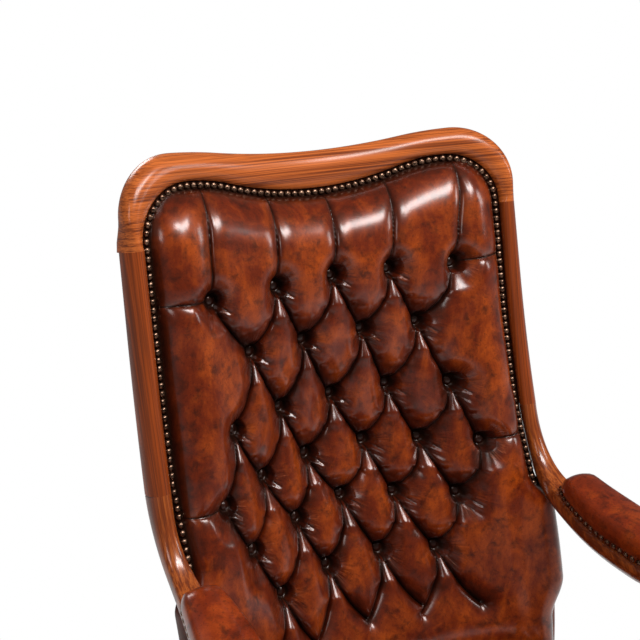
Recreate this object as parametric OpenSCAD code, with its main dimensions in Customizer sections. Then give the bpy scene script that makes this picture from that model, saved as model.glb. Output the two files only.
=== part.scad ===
// Open armchair with a bowed show-wood back frame, a deep buttoned leather back,
// swept arms with leather pads, a stuffed seat and brass castors.
// X runs to the right as seen from the front, -Y is the front, Z is up from the floor.
// Inside the modules Y is counted from the middle of the crest's nail line.

/* [Back frame] */
// Height of the nail line at the middle of the crest
nail_z = 1038; // [1000:1:1080]
// Lean of the back from upright, in degrees
rake = 10.8; // [8:0.1:14]
// Radius of the back frame's bow in plan
bow_r = 656; // [560:1:900]
// Half the opening between the stiles at the crest joint
stile_in = 268; // [250:1:290]
// Half the width over the stiles at the crest joint
stile_out = 288.5; // [284:0.5:310]
// How far each stile stands wider at its foot than at its top
stile_flare = 7; // [0:1:14]
// How far the outside of each stile stands wider at its foot
outer_flare = 9.5; // [2:0.5:16]
// Width of the show wood at the middle of the crest
crest_w = 49.5; // [40:0.5:60]
// Width of the show wood at the crest's shoulders
shoulder_w = 34.5; // [28:0.5:42]
// Gap between the nails' centres and the wood
nail_gap = 6; // [5:0.5:8]
// Rise of the nail line from the middle of the crest to its shoulders
crest_dip = 28; // [16:1:36]
// Corner radius of the crest's inner edge
corner_in = 73; // [60:1:84]
// Corner radius of the crest's outer edge
corner_out = 78; // [68:1:88]
// Drop from the nail line's middle to the joint of crest and stile
crest_joint = 42; // [42:1:60]
// Length of each stile between its two joints
stile_len = 301; // [280:1:320]
// Depth of the frame's section from its crown to its back
frame_depth = 38; // [34:1:42]
// Width of the ledge that the leather is nailed to
ledge_w = 18; // [15:1:22]
// Thickness of the ledge
ledge_t = 24; // [18:1:26]

/* [Posts and legs] */
// Side of a back post
post_w = 34; // [28:1:38]
// Side of a rear leg at its foot
rear_foot = 27; // [26:1:32]
// Distance of the rear castors behind the crest's nail line, a minus sign meaning in front
rear_castor_y = -118; // [-150:1:-90]
// Half the distance between the rear castors
rear_castor_x = 252; // [235:1:265]
// Distance of the front legs in front of the crest's nail line
front_leg_y = 728; // [700:1:750]
// Half the distance between the front legs
front_leg_x = 274; // [262:1:285]
// Side of the square block at the top of a front leg
block_w = 44; // [40:1:48]

/* [Seat frame] */
// Height of the top of the seat rails
rail_top = 345; // [330:1:360]
// Height of a seat rail
rail_h = 60; // [50:1:70]
// Thickness of a seat rail
rail_t = 34; // [28:1:36]
// Bow of the front rail
front_bow = 26; // [14:1:34]
// Bow of the rear rail
rear_bow = 75; // [55:1:90]
// Height of the rebate for the seat's nailed edge
rebate_h = 15; // [12:1:18]
// Depth of that rebate
rebate_t = 3; // [2:0.5:4]
// Height of the seat's crown above the rails
seat_rise = 88; // [70:1:100]

/* [Arms] */
// Radius of the sweep from stile to arm
sweep_r = 132; // [120:1:150]
// Width of the arm rail under the pad
arm_w = 56; // [44:1:60]
// Thickness of the arm rail
arm_t = 34; // [30:1:36]
// Radius of the long curve under the pad
arm_sag_r = 600; // [500:10:900]
// Outward splay of the arm from back to front
arm_splay = 12; // [4:1:20]
// Radius of the scroll at the arm's front
scroll_r = 29; // [27:1:32]
// Height of the leather pad
pad_h = 37; // [30:1:42]
// Length of the leather pad
pad_len = 240; // [210:1:242]
// How far the pad's sides bulge past the arm rail
pad_bulge = 6; // [4:1:10]

/* [Upholstery] */
// Height between rows of back buttons
row_pitch = 82; // [76:1:88]
// Distance between buttons in a row
column_pitch = 86; // [80:1:92]
// Depth of the top row of buttons below the nail line
first_row = 107; // [100:1:114]
// Height of a tuft over its buttons
tuft_h = 27; // [18:1:32]
// Radius of a leather button
button_r = 7.5; // [6.5:0.1:9]
// Thickness of a leather button
button_t = 6; // [5:0.5:8]
// Width of a web strap
web_w = 50; // [45:1:55]
// Thickness of a web strap
web_t = 2; // [1.5:0.1:2.5]
// Thickness of the cover under the seat and behind the back
cover_t = 1.6; // [1.2:0.1:2.5]

/* [Castors] */
// Radius of a castor wheel
wheel_r = 17; // [15:0.5:18]
// Width of a castor wheel
wheel_w = 16; // [14:0.5:17]
// Offset of the wheel behind its pivot
castor_trail = 20; // [18:0.5:22]
// Radius of the pivot pin under the cup
pivot_r = 5; // [4.5:0.1:5.5]
// Radius of the wheel's axle
axle_r = 3; // [2.6:0.1:3.4]
// Radius of the leg's spigot in the brass cup
spigot_r = 12.7; // [12:0.1:13]
// Depth of the socket in the cup
socket_h = 32; // [28:1:36]
// Thickness of the cup's wall at its foot
cup_wall = 2.5; // [2:0.1:3.2]

/* [Fits] */
// Gap between pieces that lie beside each other
gap = 0.3; // [0.2:0.05:0.5]
// Radial clearance of a turning pin
run_fit = 0.06; // [0.03:0.01:0.09]

/* [Hidden] */

rosewood = [0.43, 0.17, 0.07];
arm_wood = [0.55, 0.24, 0.10];
beech = [0.74, 0.58, 0.40];
hide = [0.40, 0.11, 0.05];
dark_hide = [0.13, 0.05, 0.04];
jute = [0.66, 0.55, 0.38];
steel = [0.55, 0.56, 0.58];
old_brass = [0.62, 0.48, 0.22];

// The frame's depth lies mostly behind the nail line
crown = 10;
back_face = crown - frame_depth;
ledge_face = back_face + ledge_t;
stile_foot = crest_joint + stile_len;
// The stile starts to lean further forward here, on a wide curve
bend_from = 150;
bend_r = 2000;
rail_bottom = rail_top - rail_h;

function unit(v) = v / norm(v);
function mix(a, b, t) = a + (b - a) * t;
function clamp01(t) = min(1, max(0, t));
function ease(t) = let(c = clamp01(t)) c * c * (3 - 2 * c);
function bezier(p, t) = pow(1 - t, 3) * p[0] + 3 * pow(1 - t, 2) * t * p[1]
    + 3 * (1 - t) * t * t * p[2] + t * t * t * p[3];

// Depth of the back frame's surface, towards the sitter, at u across and v up
function bow(u) = bow_r - sqrt(bow_r * bow_r - u * u);
function bend(v) = pow(max(0, -v - bend_from), 2) / (2 * bend_r);
function at_back(u, v, w) = let(d = w + bow(u) + bend(v))
    [u, v * sin(rake) - d * cos(rake), nail_z + v * cos(rake) + d * sin(rake)];
forward = [0, -cos(rake), sin(rake)];

// A serpentine crest line: a hollow, a shoulder, a round corner and the start of the side
function crest_line(base, dip, half, r, n) =
    let(peak = half - r, turn = 2 * atan(dip / peak), sum = peak / sin(turn),
        hollow = 0.66 * sum, shoulder = sum - hollow, top = base + dip)
    concat(
        [for (i = [0 : n]) let(a = turn * i / n) [hollow * sin(a), base + hollow * (1 - cos(a))]],
        [for (i = [1 : n]) let(a = turn * (1 - i / n))
            [peak - shoulder * sin(a), top - shoulder * (1 - cos(a))]],
        [for (i = [1 : n + 2]) let(a = 90 * i / (n + 2))
            [peak + r * sin(a), top - r * (1 - cos(a))]],
        [[half, -crest_joint]]);

// Sections: how far across, a fixed offset across, and height over the nail line
ledge = [[0, -ledge_w, back_face], [0, -ledge_w, ledge_face], [0, 0, ledge_face]];
thumb = [[0, 0, 1.5], [0.12, 0, 5.5], [0.32, 0, 9], [0.55, 0, crown], [0.78, 0, 7],
    [0.93, 0, 1], [1, 0, -8], [0.97, 0, -18], [0.84, 0, back_face + 3], [0.6, 0, back_face]];
// The stiles fall away sooner at the back than the crest does
stile_thumb = [[0, 0, 1.5], [0.12, 0, 5.5], [0.32, 0, 9], [0.55, 0, crown], [0.78, 0, 7],
    [0.93, 0, 1], [1, 0, -6], [0.96, 0, -14], [0.8, 0, back_face + 5], [0.5, 0, back_face]];
with_ledge = concat([[0.1, 0, back_face]], ledge, thumb);
stile_section = concat([[0.1, 0, back_face]], ledge, stile_thumb);
without_ledge = concat([[0.1, 0, back_face]], [[0, 0, back_face + 0.5]], [[0, 0, ledge_face]],
    stile_thumb);
arm_section = [[0.3, 0, -arm_t], [0.08, 0, 2 - arm_t], [0, 0, -18], [0.01, 0, -7], [0.08, 0, -2],
    [0.25, 0, 0], [0.5, 0, 0], [0.75, 0, 0], [0.92, 0, -2], [1, 0, -7], [1, 0, -20],
    [0.92, 0, 2 - arm_t], [0.7, 0, -arm_t]];

// One section of the frame between an inner and an outer point of the surface
function frame_ring(inner, outer, section) =
    let(a = at_back(inner[0], inner[1], 0), b = at_back(outer[0], outer[1], 0),
        across = unit(b - a), width = norm(b - a),
        up = unit(forward - (forward * across) * across))
    [for (s = section) a + across * (s[0] * width + s[1]) + up * s[2]];

// A closed solid through a list of rings that all have the same count of points
module loft(rings) {
    n = len(rings[0]);
    last = (len(rings) - 1) * n;
    sides = [for (i = [0 : len(rings) - 2], j = [0 : n - 1])
        let(a = i * n + j, b = i * n + (j + 1) % n) each [[a, b, b + n], [a, b + n, a + n]]];
    ends = [for (j = [1 : n - 2]) each [[0, j + 1, j], [last, last + j, last + j + 1]]];
    polyhedron(points = [for (r = rings) each r], faces = concat(sides, ends), convexity = 10);
}

crest_in = crest_line(nail_gap, crest_dip, stile_in, corner_in, 8);
crest_out = crest_line(nail_gap + crest_w, crest_dip + shoulder_w - crest_w, stile_out,
    corner_out, 8);
crest_n = len(crest_in);
crest_rings = concat(
    [for (i = [crest_n - 1 : -1 : 1])
        frame_ring([-crest_in[i][0], crest_in[i][1]], [-crest_out[i][0], crest_out[i][1]],
            with_ledge)],
    [for (i = [0 : crest_n - 1]) frame_ring(crest_in[i], crest_out[i], with_ledge)]);

// The whole chair is centred between the crest's back and the seat's front
back_reach = max([for (r = crest_rings) each [for (p = r) p[1]]]);
seat_overhang = 6;
front_reach = front_leg_y + block_w / 2 + front_bow + seat_overhang;
module place() translate([0, (front_reach - back_reach) / 2, 0]) children();
module left() mirror([1, 0, 0]) children();

module crest_rail() color(rosewood) place() loft(crest_rings);

// Half width of the opening and of the outside at a drop below the nail line
function side_in(drop) = stile_in + stile_flare * clamp01((drop - crest_joint) / stile_len);
function side_out(drop) = stile_out + outer_flare * clamp01((drop - crest_joint) / stile_len);
function stile_ring(drop, section) =
    frame_ring([side_in(drop), -drop], [side_out(drop), -drop], section);

module stile() color(rosewood) place() loft([for (i = [0 : 10])
    stile_ring(crest_joint + stile_len * i / 10, stile_section)]);

// The arm leaves the stile's lower joint and turns forward on the sweep radius.
joint_ring = stile_ring(stile_foot, without_ledge);
joint_a = at_back(side_in(stile_foot), -stile_foot, 0);
joint_b = at_back(side_out(stile_foot), -stile_foot, 0);
joint_across = unit(joint_b - joint_a);
joint_w = norm(joint_b - joint_a);
start_turn = rake + atan((stile_foot - bend_from) / bend_r);
sweep_end = 73;
sag_end = 98;
sweep_len = sweep_r * (sweep_end - start_turn) * PI / 180;
sag_len = arm_sag_r * (sag_end - sweep_end) * PI / 180;
arm_len = sweep_len + sag_len;

// Angle of the path from straight down, and its point in the side plane, at s along it
function arm_turn(s) = s < sweep_len ? start_turn + s / sweep_r * 180 / PI
    : sweep_end + (s - sweep_len) / arm_sag_r * 180 / PI;
function arc_step(r, a, b) = r * [cos(b) - cos(a), sin(a) - sin(b)];
function arm_yz(s) = s < sweep_len
    ? [joint_a[1], joint_a[2]] + arc_step(sweep_r, start_turn, arm_turn(s))
    : [joint_a[1], joint_a[2]] + arc_step(sweep_r, start_turn, sweep_end)
        + arc_step(arm_sag_r, sweep_end, arm_turn(s));
// The arm widens to both sides over the end of the sweep and the start of the pad
function arm_width(s) = mix(joint_w, arm_w, ease((s - sweep_len * 0.75) / (sweep_len * 1.25)));
function arm_x(s) = joint_a[0] - (arm_width(s) - joint_w) / 2
    + arm_splay * ease((s - sweep_len * 1.4) / sag_len);
function arm_up(s) = [0, -cos(arm_turn(s)), sin(arm_turn(s))];
function arm_face(s) = ease(s / (sweep_len * 1.15));
// The joint's tilt in plan dies out along the sweep
function arm_across(s) = unit(mix(joint_across - (joint_across * arm_up(0)) * arm_up(0)
    + (joint_across * arm_up(0)) * arm_up(s), [1, 0, 0], arm_face(s)));
function arm_point(s, a, b) = let(x = arm_across(s), n = arm_up(s), p = arm_yz(s))
    [arm_x(s), p[0], p[1]] + x * a + unit(n - (n * x) * x) * b;
function arm_ring(s) = [for (k = [0 : len(arm_section) - 1])
    let(q = mix(without_ledge[k], arm_section[k], arm_face(s)))
    arm_point(s, q[0] * arm_width(s), q[2])];

arm_steps = 26;
arm_rings = concat([joint_ring],
    [for (i = [1 : arm_steps]) arm_ring(arm_len * i / arm_steps)]);
tip = arm_yz(arm_len);
tip_turn = arm_turn(arm_len);
// The scroll's top runs on from the arm's top
scroll_y = tip[0] + scroll_r * cos(tip_turn) - 4;
scroll_z = tip[1] - scroll_r * sin(tip_turn);
scroll_x = arm_x(arm_len) + arm_w / 2;
scroll_w = arm_w + 6;
boss_r = 15;
boss_t = 3;

module arm() color(arm_wood) place() {
    loft(arm_rings);
    translate([scroll_x, scroll_y, scroll_z]) rotate([0, 90, 0]) {
        cylinder(r = scroll_r, h = scroll_w, center = true, $fn = 64);
        cylinder(r = boss_r, h = scroll_w + 2 * boss_t, center = true, $fn = 48);
    }
}

// The support leaves the scroll's underside and runs in an S down to the side rail
foot_y = -628;
foot_x = 276;
support_path = [[scroll_x, scroll_y + 4, scroll_z - scroll_r + 8],
    [scroll_x + 6, scroll_y + 46, scroll_z - 96],
    [foot_x, foot_y - 10, mix(rail_top, scroll_z, 0.38)],
    [foot_x, foot_y, rail_top]];
support_w = [34, 26, 30];
function support_ring(t, slack) =
    let(p = bezier(support_path, t), d = unit(bezier(support_path, min(1, t + 0.01))
            - bezier(support_path, max(0, t - 0.01))),
        down = t > 0.97 ? [0, 0, -1] : d, side = unit(cross(down, [1, 0, 0])),
        across = unit(cross(side, down)),
        w = bezier([support_w[0], support_w[1], support_w[1], support_w[2]], t) / 2 + slack,
        h = w * 1.25)
    [for (q = [[1, 0.5], [0.5, 1], [-0.5, 1], [-1, 0.5], [-1, -0.5], [-0.5, -1], [0.5, -1],
        [1, -0.5]]) p + across * w * q[0] + side * h * q[1]];

module support_body(slack) loft([for (i = [16 : -1 : 0]) support_ring(i / 16, slack)]);
module arm_support() color(arm_wood) place() difference() {
    support_body(0);
    translate([scroll_x, scroll_y, scroll_z]) rotate([0, 90, 0])
        cylinder(r = scroll_r + gap, h = scroll_w * 2, center = true, $fn = 64);
}

// Front line of the back post in the side plane, from the stile's joint to the seat
post_seat_y = -252;
post_bend_z = nail_z - 470;
post_line = [[joint_a[1], joint_a[2]], [joint_a[1] - 20, joint_a[2] - 66],
    [post_seat_y + 20, post_bend_z], [post_seat_y, rail_top]];
post_t = 30;
post_grow = 8;
leg_end = 112;
// Middle of the post where it meets the seat rails
rear_y = post_seat_y + (post_t + post_grow) / 2 - ledge_face;
rear_line = [[rear_y, rail_top], [rear_y - 6, rail_bottom - 55],
    [rear_castor_y - 30, 185], [rear_castor_y, leg_end]];
castor_top = 2 * wheel_r + 14;
cup_floor = castor_top + 6;
cup_top = cup_floor + socket_h;

function square_ring(x, y, z, w, t, tilt) = [for (q = [[1, 0.7], [0.7, 1], [-0.7, 1], [-1, 0.7],
    [-1, -0.7], [-0.7, -1], [0.7, -1], [1, -0.7]])
    [x + q[0] * w / 2, y + q[1] * t / 2 * cos(tilt), z - q[1] * t / 2 * sin(tilt)]];
post_x = joint_a[0] - gap - post_w / 2;
// Upper part: square to the stile at the joint, upright at the seat
function post_ring(t) =
    let(p = bezier(post_line, t), d = bezier(post_line, t + 0.01) - bezier(post_line, t - 0.01),
        lean = atan(d[0] / d[1]) * (1 - ease((t - 0.6) / 0.4)), grow = ease((t - 0.5) / 0.5),
        depth = post_t + post_grow * grow, back = depth / 2 - ledge_face)
    square_ring(post_x, p[0] + back * cos(lean), p[1] - back * sin(lean),
        post_w + 2 * grow, depth, lean);
function leg_ring(t) = let(p = bezier(rear_line, t))
    square_ring(mix(post_x, rear_castor_x, ease(t)), p[0], p[1],
        mix(post_w + 2, rear_foot, ease(t)), mix(post_t + post_grow, rear_foot, ease(t)), 0);

module back_post() color(rosewood) place() {
    loft(concat([for (i = [0 : 12]) post_ring(i / 12)], [for (i = [1 : 12]) leg_ring(i / 12)]));
    translate([rear_castor_x, rear_castor_y, cup_floor + gap])
        cylinder(r = spigot_r, h = leg_end - cup_floor - gap, $fn = 48);
}

// Front leg: a square block between the rails over a turned and tapered shaft
turning = concat(
    [[0, cup_floor + gap], [spigot_r, cup_floor + gap], [spigot_r, cup_top + gap],
        [15.5, cup_top + gap], [16, cup_top + 4]],
    [for (i = [0 : 6]) let(t = i / 6) [mix(16, 23.5, ease(t)), mix(cup_top + 8, 206, t)]],
    [for (a = [-60 : 30 : 60]) [23 + 4 * cos(a), 214 + 5 * sin(a)]],
    [for (i = [0 : 4]) let(a = 90 * i / 4) [26 - 7 * sin(a), 220 + 7 * (1 - cos(a))]],
    [for (a = [-75 : 25 : 75]) [17 + 10.5 * cos(a), 243 + 12 * sin(a)]],
    [[19, 256.5], [19, 259], [22, 262], [22, 267], [0, 267]]);
block_z = 266;
module front_leg() color(rosewood) place() translate([front_leg_x, -front_leg_y, 0]) {
    rotate_extrude($fn = 64) polygon(turning);
    translate([-block_w / 2, -block_w / 2, block_z]) cube([block_w, block_w, rail_top - block_z]);
}

// Seat rails. The front and rear rails are bowed in plan, the side rails are straight.
front_face = front_leg_y + block_w / 2;
front_half = front_leg_x - block_w / 2;
function arc_r(half, rise) = (half * half + rise * rise) / (2 * rise);
front_r = arc_r(front_half, front_bow);
module ring_slice(r, t, z, h) translate([0, 0, z]) difference() {
    cylinder(r = r, h = h, $fn = 200);
    translate([0, 0, -1]) cylinder(r = r - t, h = h + 2, $fn = 200);
}
module front_rail() color(rosewood) place() intersection() {
    translate([0, front_r - front_face - front_bow, 0]) union() {
        ring_slice(front_r, rail_t, rail_bottom, rail_h - rebate_h);
        ring_slice(front_r - rebate_t, rail_t - rebate_t, rail_top - rebate_h, rebate_h);
    }
    translate([-front_half, -front_face - front_bow - 5, rail_bottom - 1])
        cube([2 * front_half, front_bow + rail_t + 5, rail_h + 2]);
}

rear_half = post_x - post_w / 2 - 1 - gap;
rear_r = arc_r(rear_half, rear_bow);
module rear_rail() color(beech) place() intersection() {
    translate([0, rear_y + rear_bow - rear_r, 0])
        ring_slice(rear_r, rail_t - 4, rail_bottom, rail_h);
    translate([-rear_half, rear_y - rail_t / 2, rail_bottom - 1])
        cube([2 * rear_half, rear_bow + rail_t, rail_h + 2]);
}

// Outer face of a side rail, from the back post to the block of the front leg
side_rear = [post_x + post_w / 2 + 1, post_seat_y - ledge_face - gap];
side_front = [front_leg_x + block_w / 2, -front_leg_y + block_w / 2];
module side_plan(inset) polygon([[side_rear[0] - inset, side_rear[1]],
    [side_front[0] - inset, side_front[1]], [side_front[0] - rail_t, side_front[1]],
    [side_rear[0] - rail_t, side_rear[1]]]);
module side_rail() color(rosewood) place() {
    translate([0, 0, rail_bottom]) linear_extrude(rail_h - rebate_h) side_plan(0);
    translate([0, 0, rail_top - rebate_h]) linear_extrude(rebate_h) side_plan(rebate_t);
}

// Glued blocks in the corners of the seat frame
block_leg = 62;
block_h = 40;
module corner_block(p, sx, sy) translate([p[0], p[1], rail_bottom + 8])
    linear_extrude(block_h) polygon([[0, 0], [sx * block_leg, 0], [0, sy * block_leg]]);
block_x = front_half - gap;
block_y = front_r - front_face - front_bow + gap
    - sqrt(pow(front_r - rail_t, 2) - block_x * block_x);
module corner_blocks() color(beech) place() for (s = [-1, 1])
    corner_block([s * block_x, block_y], -s, 1);

// Webbing under the seat, tacked to the underside of the rails
inner_front = -front_face + rail_t;
strap_y = [for (i = [0 : 4]) -330 - i * 82];
strap_x = [for (i = [-2 : 2]) i * 88];
module seat_webbing() color(jute) place() {
    for (y = strap_y) translate([-side_front[0] + 22, y - web_w / 2, rail_bottom - web_t])
        cube([2 * side_front[0] - 44, web_w, web_t]);
    for (x = strap_x) translate([x - web_w / 2, inner_front - 20, rail_bottom - 2 * web_t])
        cube([web_w, rear_y - inner_front + 30, web_t]);
}

// Waisted coil springs, each stood in for by its thin envelope
spring_r = 34;
spring_waist = 25;
spring_wire = 3.6;
module spring() rotate_extrude($fn = 48) polygon([
    [spring_r - spring_wire, 0], [spring_r, 0], [spring_waist, (rail_h - gap) / 2],
    [spring_r, rail_h - gap], [spring_r - spring_wire, rail_h - gap],
    [spring_waist - spring_wire, (rail_h - gap) / 2]]);
module seat_springs() color(steel) place() for (x = [strap_x[1], strap_x[2], strap_x[3]],
    y = [strap_y[1], strap_y[2], strap_y[3]]) translate([x, y, rail_bottom]) spring();

// Hessian over rails and springs
hessian_inset = 9;
post_clear = side_rear[1] - 3;
module seat_plan(inset) polygon(concat(
    [[rear_half - 4, post_clear], [side_rear[0] - inset, post_clear],
        [side_front[0] - inset, side_front[1]],
        [side_front[0] - inset, -front_face + inset]],
    [for (i = [4 : -1 : -4]) let(x = front_half * i / 4)
        [x, front_r - front_face - front_bow - sqrt(pow(front_r - inset, 2) - x * x)]],
    [[-side_front[0] + inset, -front_face + inset], [-side_front[0] + inset, side_front[1]],
        [-side_rear[0] + inset, post_clear], [4 - rear_half, post_clear]],
    [for (i = [-4 : 4]) let(x = (rear_half - 4) * i / 4)
        [x, rear_y + rear_bow - rear_r + sqrt(pow(rear_r - inset, 2) - x * x)]]));
module seat_hessian() color(jute) place() difference() {
    translate([0, 0, rail_top]) linear_extrude(cover_t) seat_plan(hessian_inset);
    for (s = [-1, 1]) translate([s * (foot_x + 10), foot_y, rail_top])
        cube([60, 62, 10], center = true);
}
cloth_z = rail_bottom - 2 * web_t - cover_t / 2;
module bottom_cloth() color([0.12, 0.11, 0.10]) place() difference() {
    translate([0, 0, cloth_z]) linear_extrude(cover_t / 2) seat_plan(hessian_inset);
    for (s = [-1, 1]) translate([s * front_leg_x, -front_leg_y, cloth_z])
        cube([block_w + 4, block_w + 4, 10], center = true);
}

// Seat: one stuffed form with a rolled edge and a crown
seat_bottom = rail_top + cover_t + gap;
seat_h = seat_rise - cover_t - gap;
seat_back_y = -257;
seat_rear_bow = 50;
seat_mid_y = (seat_back_y - front_face - front_bow) / 2;
seat_inset = 6;
seat_taper = 1 - side_rear[0] / side_front[0];
front_round = 0.44;
rear_round = 0.3;
// Each row of the seat: how far out from its edge, and how high as a part of its height
seat_rows = [[-2, 0], [2.5, 0.14], [5.5, 0.32], [3, 0.5], [-7, 0.65], [-26, 0.76],
    [-60, 0.85], [-115, 0.94], [-180, 1]];
seat_n = 44;
function squared(a, power) = sign(a) * pow(abs(a), power);
function seat_edge(a, out) =
    let(hx = side_front[0] - seat_inset + out, power = sin(a) > 0 ? rear_round : front_round,
        x = squared(cos(a), power), y = squared(sin(a), power),
        hy = (seat_back_y + front_face + front_bow) / 2 + out)
    [x * hx * (1 - seat_taper * (1 + y) / 2), seat_mid_y + y * hy
        + (y < 0 ? front_bow * x * x * 0.8 : seat_rear_bow * y * pow(1 - x * x, 2.5))];
module seat_cushion() color(hide) place() difference() {
    loft([for (r = seat_rows) [for (i = [0 : seat_n - 1])
        let(e = seat_edge(-360 * i / seat_n, r[0])) [e[0], e[1], seat_bottom + r[1] * seat_h]]]);
    support_body(1);
    left() support_body(1);
}

// Post front line in the back frame's own terms, so that the leather follows it
function to_back(y, z) = [y * sin(rake) + (z - nail_z) * cos(rake),
    -y * cos(rake) + (z - nail_z) * sin(rake)];
post_points = concat([for (i = [0 : 24]) bezier(post_line, i / 24)],
    [[post_seat_y, rail_bottom]]);
post_table = [for (p = post_points) let(q = to_back(p[0], p[1]))
    [q[0], q[1] - bow(joint_a[0]) - bend(q[0])]];
hide_t = 2.6;
hide_face = -1;
// Face of the leather's edge; the post's front is flat across, the frame's is bowed
function edge_w(u, v) = hide_face + (v > -stile_foot ? 0 : lookup(v, post_table))
    + (bow(joint_a[0]) - bow(u)) * clamp01((-v - stile_foot + 42) / 30);

// The hollow that the buttons lie in: depth at the middle, and its rise at 200 mm aside
hollow_mid = [[34, 6], [0, 14], [-111, 27], [-195, 9], [-284, -17], [-364, -32],
    [-435, -28], [-520, -24], [-617, -23], [-701, -31]];
hollow_side = [[34, -6], [0, -10], [-111, -11], [-195, 4], [-284, 37], [-364, 46],
    [-435, 44], [-520, 34], [-617, 22], [-701, 14]];
function button_w(u, v) = lookup(v, hollow_mid)
    + lookup(v, hollow_side) * pow(min(abs(u), hollow_reach), 2) / 40000;
function row_v(k) = -(first_row + 4) - k * row_pitch;

// Height of the stuffing over the buttons: diamonds, and upright channels over the top row
roll_w = 44;
hollow_reach = 205;
outer_button = 2.4;
outer_row = 3;
pit_r = 30;
function tuft(u, v) =
    let(a = (u / (column_pitch / 2) + (v - row_v(0)) / row_pitch) * 90,
        b = (u / (column_pitch / 2) - (v - row_v(0)) / row_pitch) * 90,
        diamond = sqrt(abs(sin(a) * sin(b))), channel = sqrt(abs(sin(u / column_pitch * 180))),
        field = v > row_v(0) ? mix(diamond, channel, ease((v - row_v(0)) / 30)) : diamond,
        side = ease((abs(u) - 2 * column_pitch + 4) / 26),
        pit = ease(norm([abs(u) - outer_button * column_pitch, v - row_v(outer_row)]) / pit_r))
    tuft_h * mix(field, 1, side) * pit;

// Below the arms the stuffing swells out past the posts
belly = 15;
belly_top = 455;
cushion_foot = -700;
function cushion_half(v) = v > -corner_in + crest_dip + nail_gap
    ? stile_in - corner_in + sqrt(max(0, pow(corner_in, 2)
        - pow(v + corner_in - crest_dip - nail_gap, 2))) - gap
    : side_in(-v) - gap
        + belly * ease((-v - belly_top) / 50) * ease((v - cushion_foot - 40) / 60);
function crest_v(u) = let(w = min(abs(u), stile_in - corner_in))
    lookup(w, [for (p = crest_in) [p[0], p[1]]]) - gap;
shoulder_v = crest_dip + nail_gap;
cushion_v = concat([for (a = [9, 26, 45, 66]) shoulder_v - corner_in * (1 - cos(a))],
    [for (v = [row_v(0) + row_pitch * 0.75 : -row_pitch / 4 : cushion_foot]) v]);
half_columns = concat([for (i = [0 : 9]) i * column_pitch / 4], [outer_button * column_pitch]);
last_column = len(half_columns) - 1;
columns = concat([for (i = [last_column : -1 : 1]) -half_columns[i]], half_columns);
edge_roll = 10;

function roll(d) = d > roll_w ? 1 : sqrt(max(0, 1 - pow(1 - max(0, d) / roll_w, 2)));
function front_w(u, v, half) =
    let(d = min(half - abs(u), crest_v(u) - v))
    mix(edge_w(u, v), button_w(u, v) + tuft(u, v), roll(d));
// The back of the stuffing lies on the webbing, and over the ledge it thins out to the hide
function stuffing_back(u, v) = crest_v(u) - row_at(v, u) < ledge_w + 6
    ? edge_w(u, v) - hide_t : min(-6, button_w(u, v) - 16);
function row_at(level, u) = level + (crest_v(u) - crest_v(stile_in))
    * (1 - ease((shoulder_v - level) / 110));
post_inner = post_x - post_w / 2 - 1 - gap;
function inner_side(v) = v > -stile_foot + 30 ? side_in(-v) - ledge_w - gap - 6 : post_inner - 4;
function back_half(level) = min(cushion_half(level) - 30, inner_side(level));
function cushion_ring(level) =
    let(half = cushion_half(level), s = min(1, half / (half_columns[last_column] + 30)),
        back = back_half(level), edge = edge_w(half, level),
        across = concat([edge_roll - half], s * columns, [half - edge_roll]))
    concat([at_back(0, row_at(level, 0), stuffing_back(0, level))],
        [for (q = [0.5, 1]) let(u = q * back)
            at_back(u, row_at(level, u), stuffing_back(u, level))],
        [for (u = [back + 5, half]) at_back(u, row_at(level, u), edge_w(u, level) - hide_t)],
        [at_back(half, row_at(level, half), edge)],
        [for (i = [len(across) - 1 : -1 : 0]) let(u = across[i], v = row_at(level, u))
            at_back(u, v, front_w(u, v, half))],
        [at_back(-half, row_at(level, half), edge)],
        [for (u = [half, back + 5]) at_back(-u, row_at(level, u), edge_w(u, level) - hide_t)],
        [for (q = [1, 0.5]) let(u = q * back)
            at_back(-u, row_at(level, u), stuffing_back(u, level))]);
module back_cushion() color(hide) place()
    loft([for (i = [len(cushion_v) - 1 : -1 : 0]) cushion_ring(cushion_v[i])]);

// Leather over the outside of each post, below the arm
wrap_t = 13;
function wrap_ring(t) =
    let(p = bezier(post_line, t), q = ease((t - 0.45) / 0.15), w = 3 + (wrap_t - 3) * q,
        x = joint_a[0] + 1 + gap, d = post_t + 4 + 8 * ease((t - 0.5) / 0.5))
    [for (c = [[0, 0.04], [0, 0.96], [0.6, 0.96], [1, 0.75], [1, 0.25], [0.6, 0.04]])
        [x + c[0] * w, p[0] + 4 + c[1] * d, p[1]]];
wrap_from = 0.52;
module side_wrap() color(hide) place()
    loft([for (i = [8 : -1 : 0]) wrap_ring(mix(wrap_from, 0.985, i / 8))]);

// Sheets behind the stuffing: the webbing and the outside leather, both level with a rule
function sheet_ring(v, half, n, t, fn) = concat(
    [for (i = [0 : n]) let(u = half * (2 * i / n - 1)) at_back(u, row_at(v, u), fn(u, v))],
    [for (i = [n : -1 : 0]) let(u = half * (2 * i / n - 1)) at_back(u, row_at(v, u), fn(u, v) - t)]);
module sheet(rows, half, n, t, fn) {
    rings = [for (v = rows) sheet_ring(v, half(v), n, t, fn)];
    count = 2 * (n + 1);
    last = (len(rings) - 1) * count;
    sides = [for (i = [0 : len(rings) - 2], j = [0 : count - 1])
        let(a = i * count + j, b = i * count + (j + 1) % count)
        each [[a, b, a + count], [b, b + count, a + count]]];
    ends = [for (j = [0 : n - 1]) let(a = j, b = j + 1, c = count - 2 - j, d = count - 1 - j)
        each [[a, c, b], [a, d, c], [last + a, last + b, last + c], [last + a, last + c, last + d]]];
    polyhedron(points = [for (r = rings) each r], faces = concat(sides, ends), convexity = 10);
}

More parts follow.
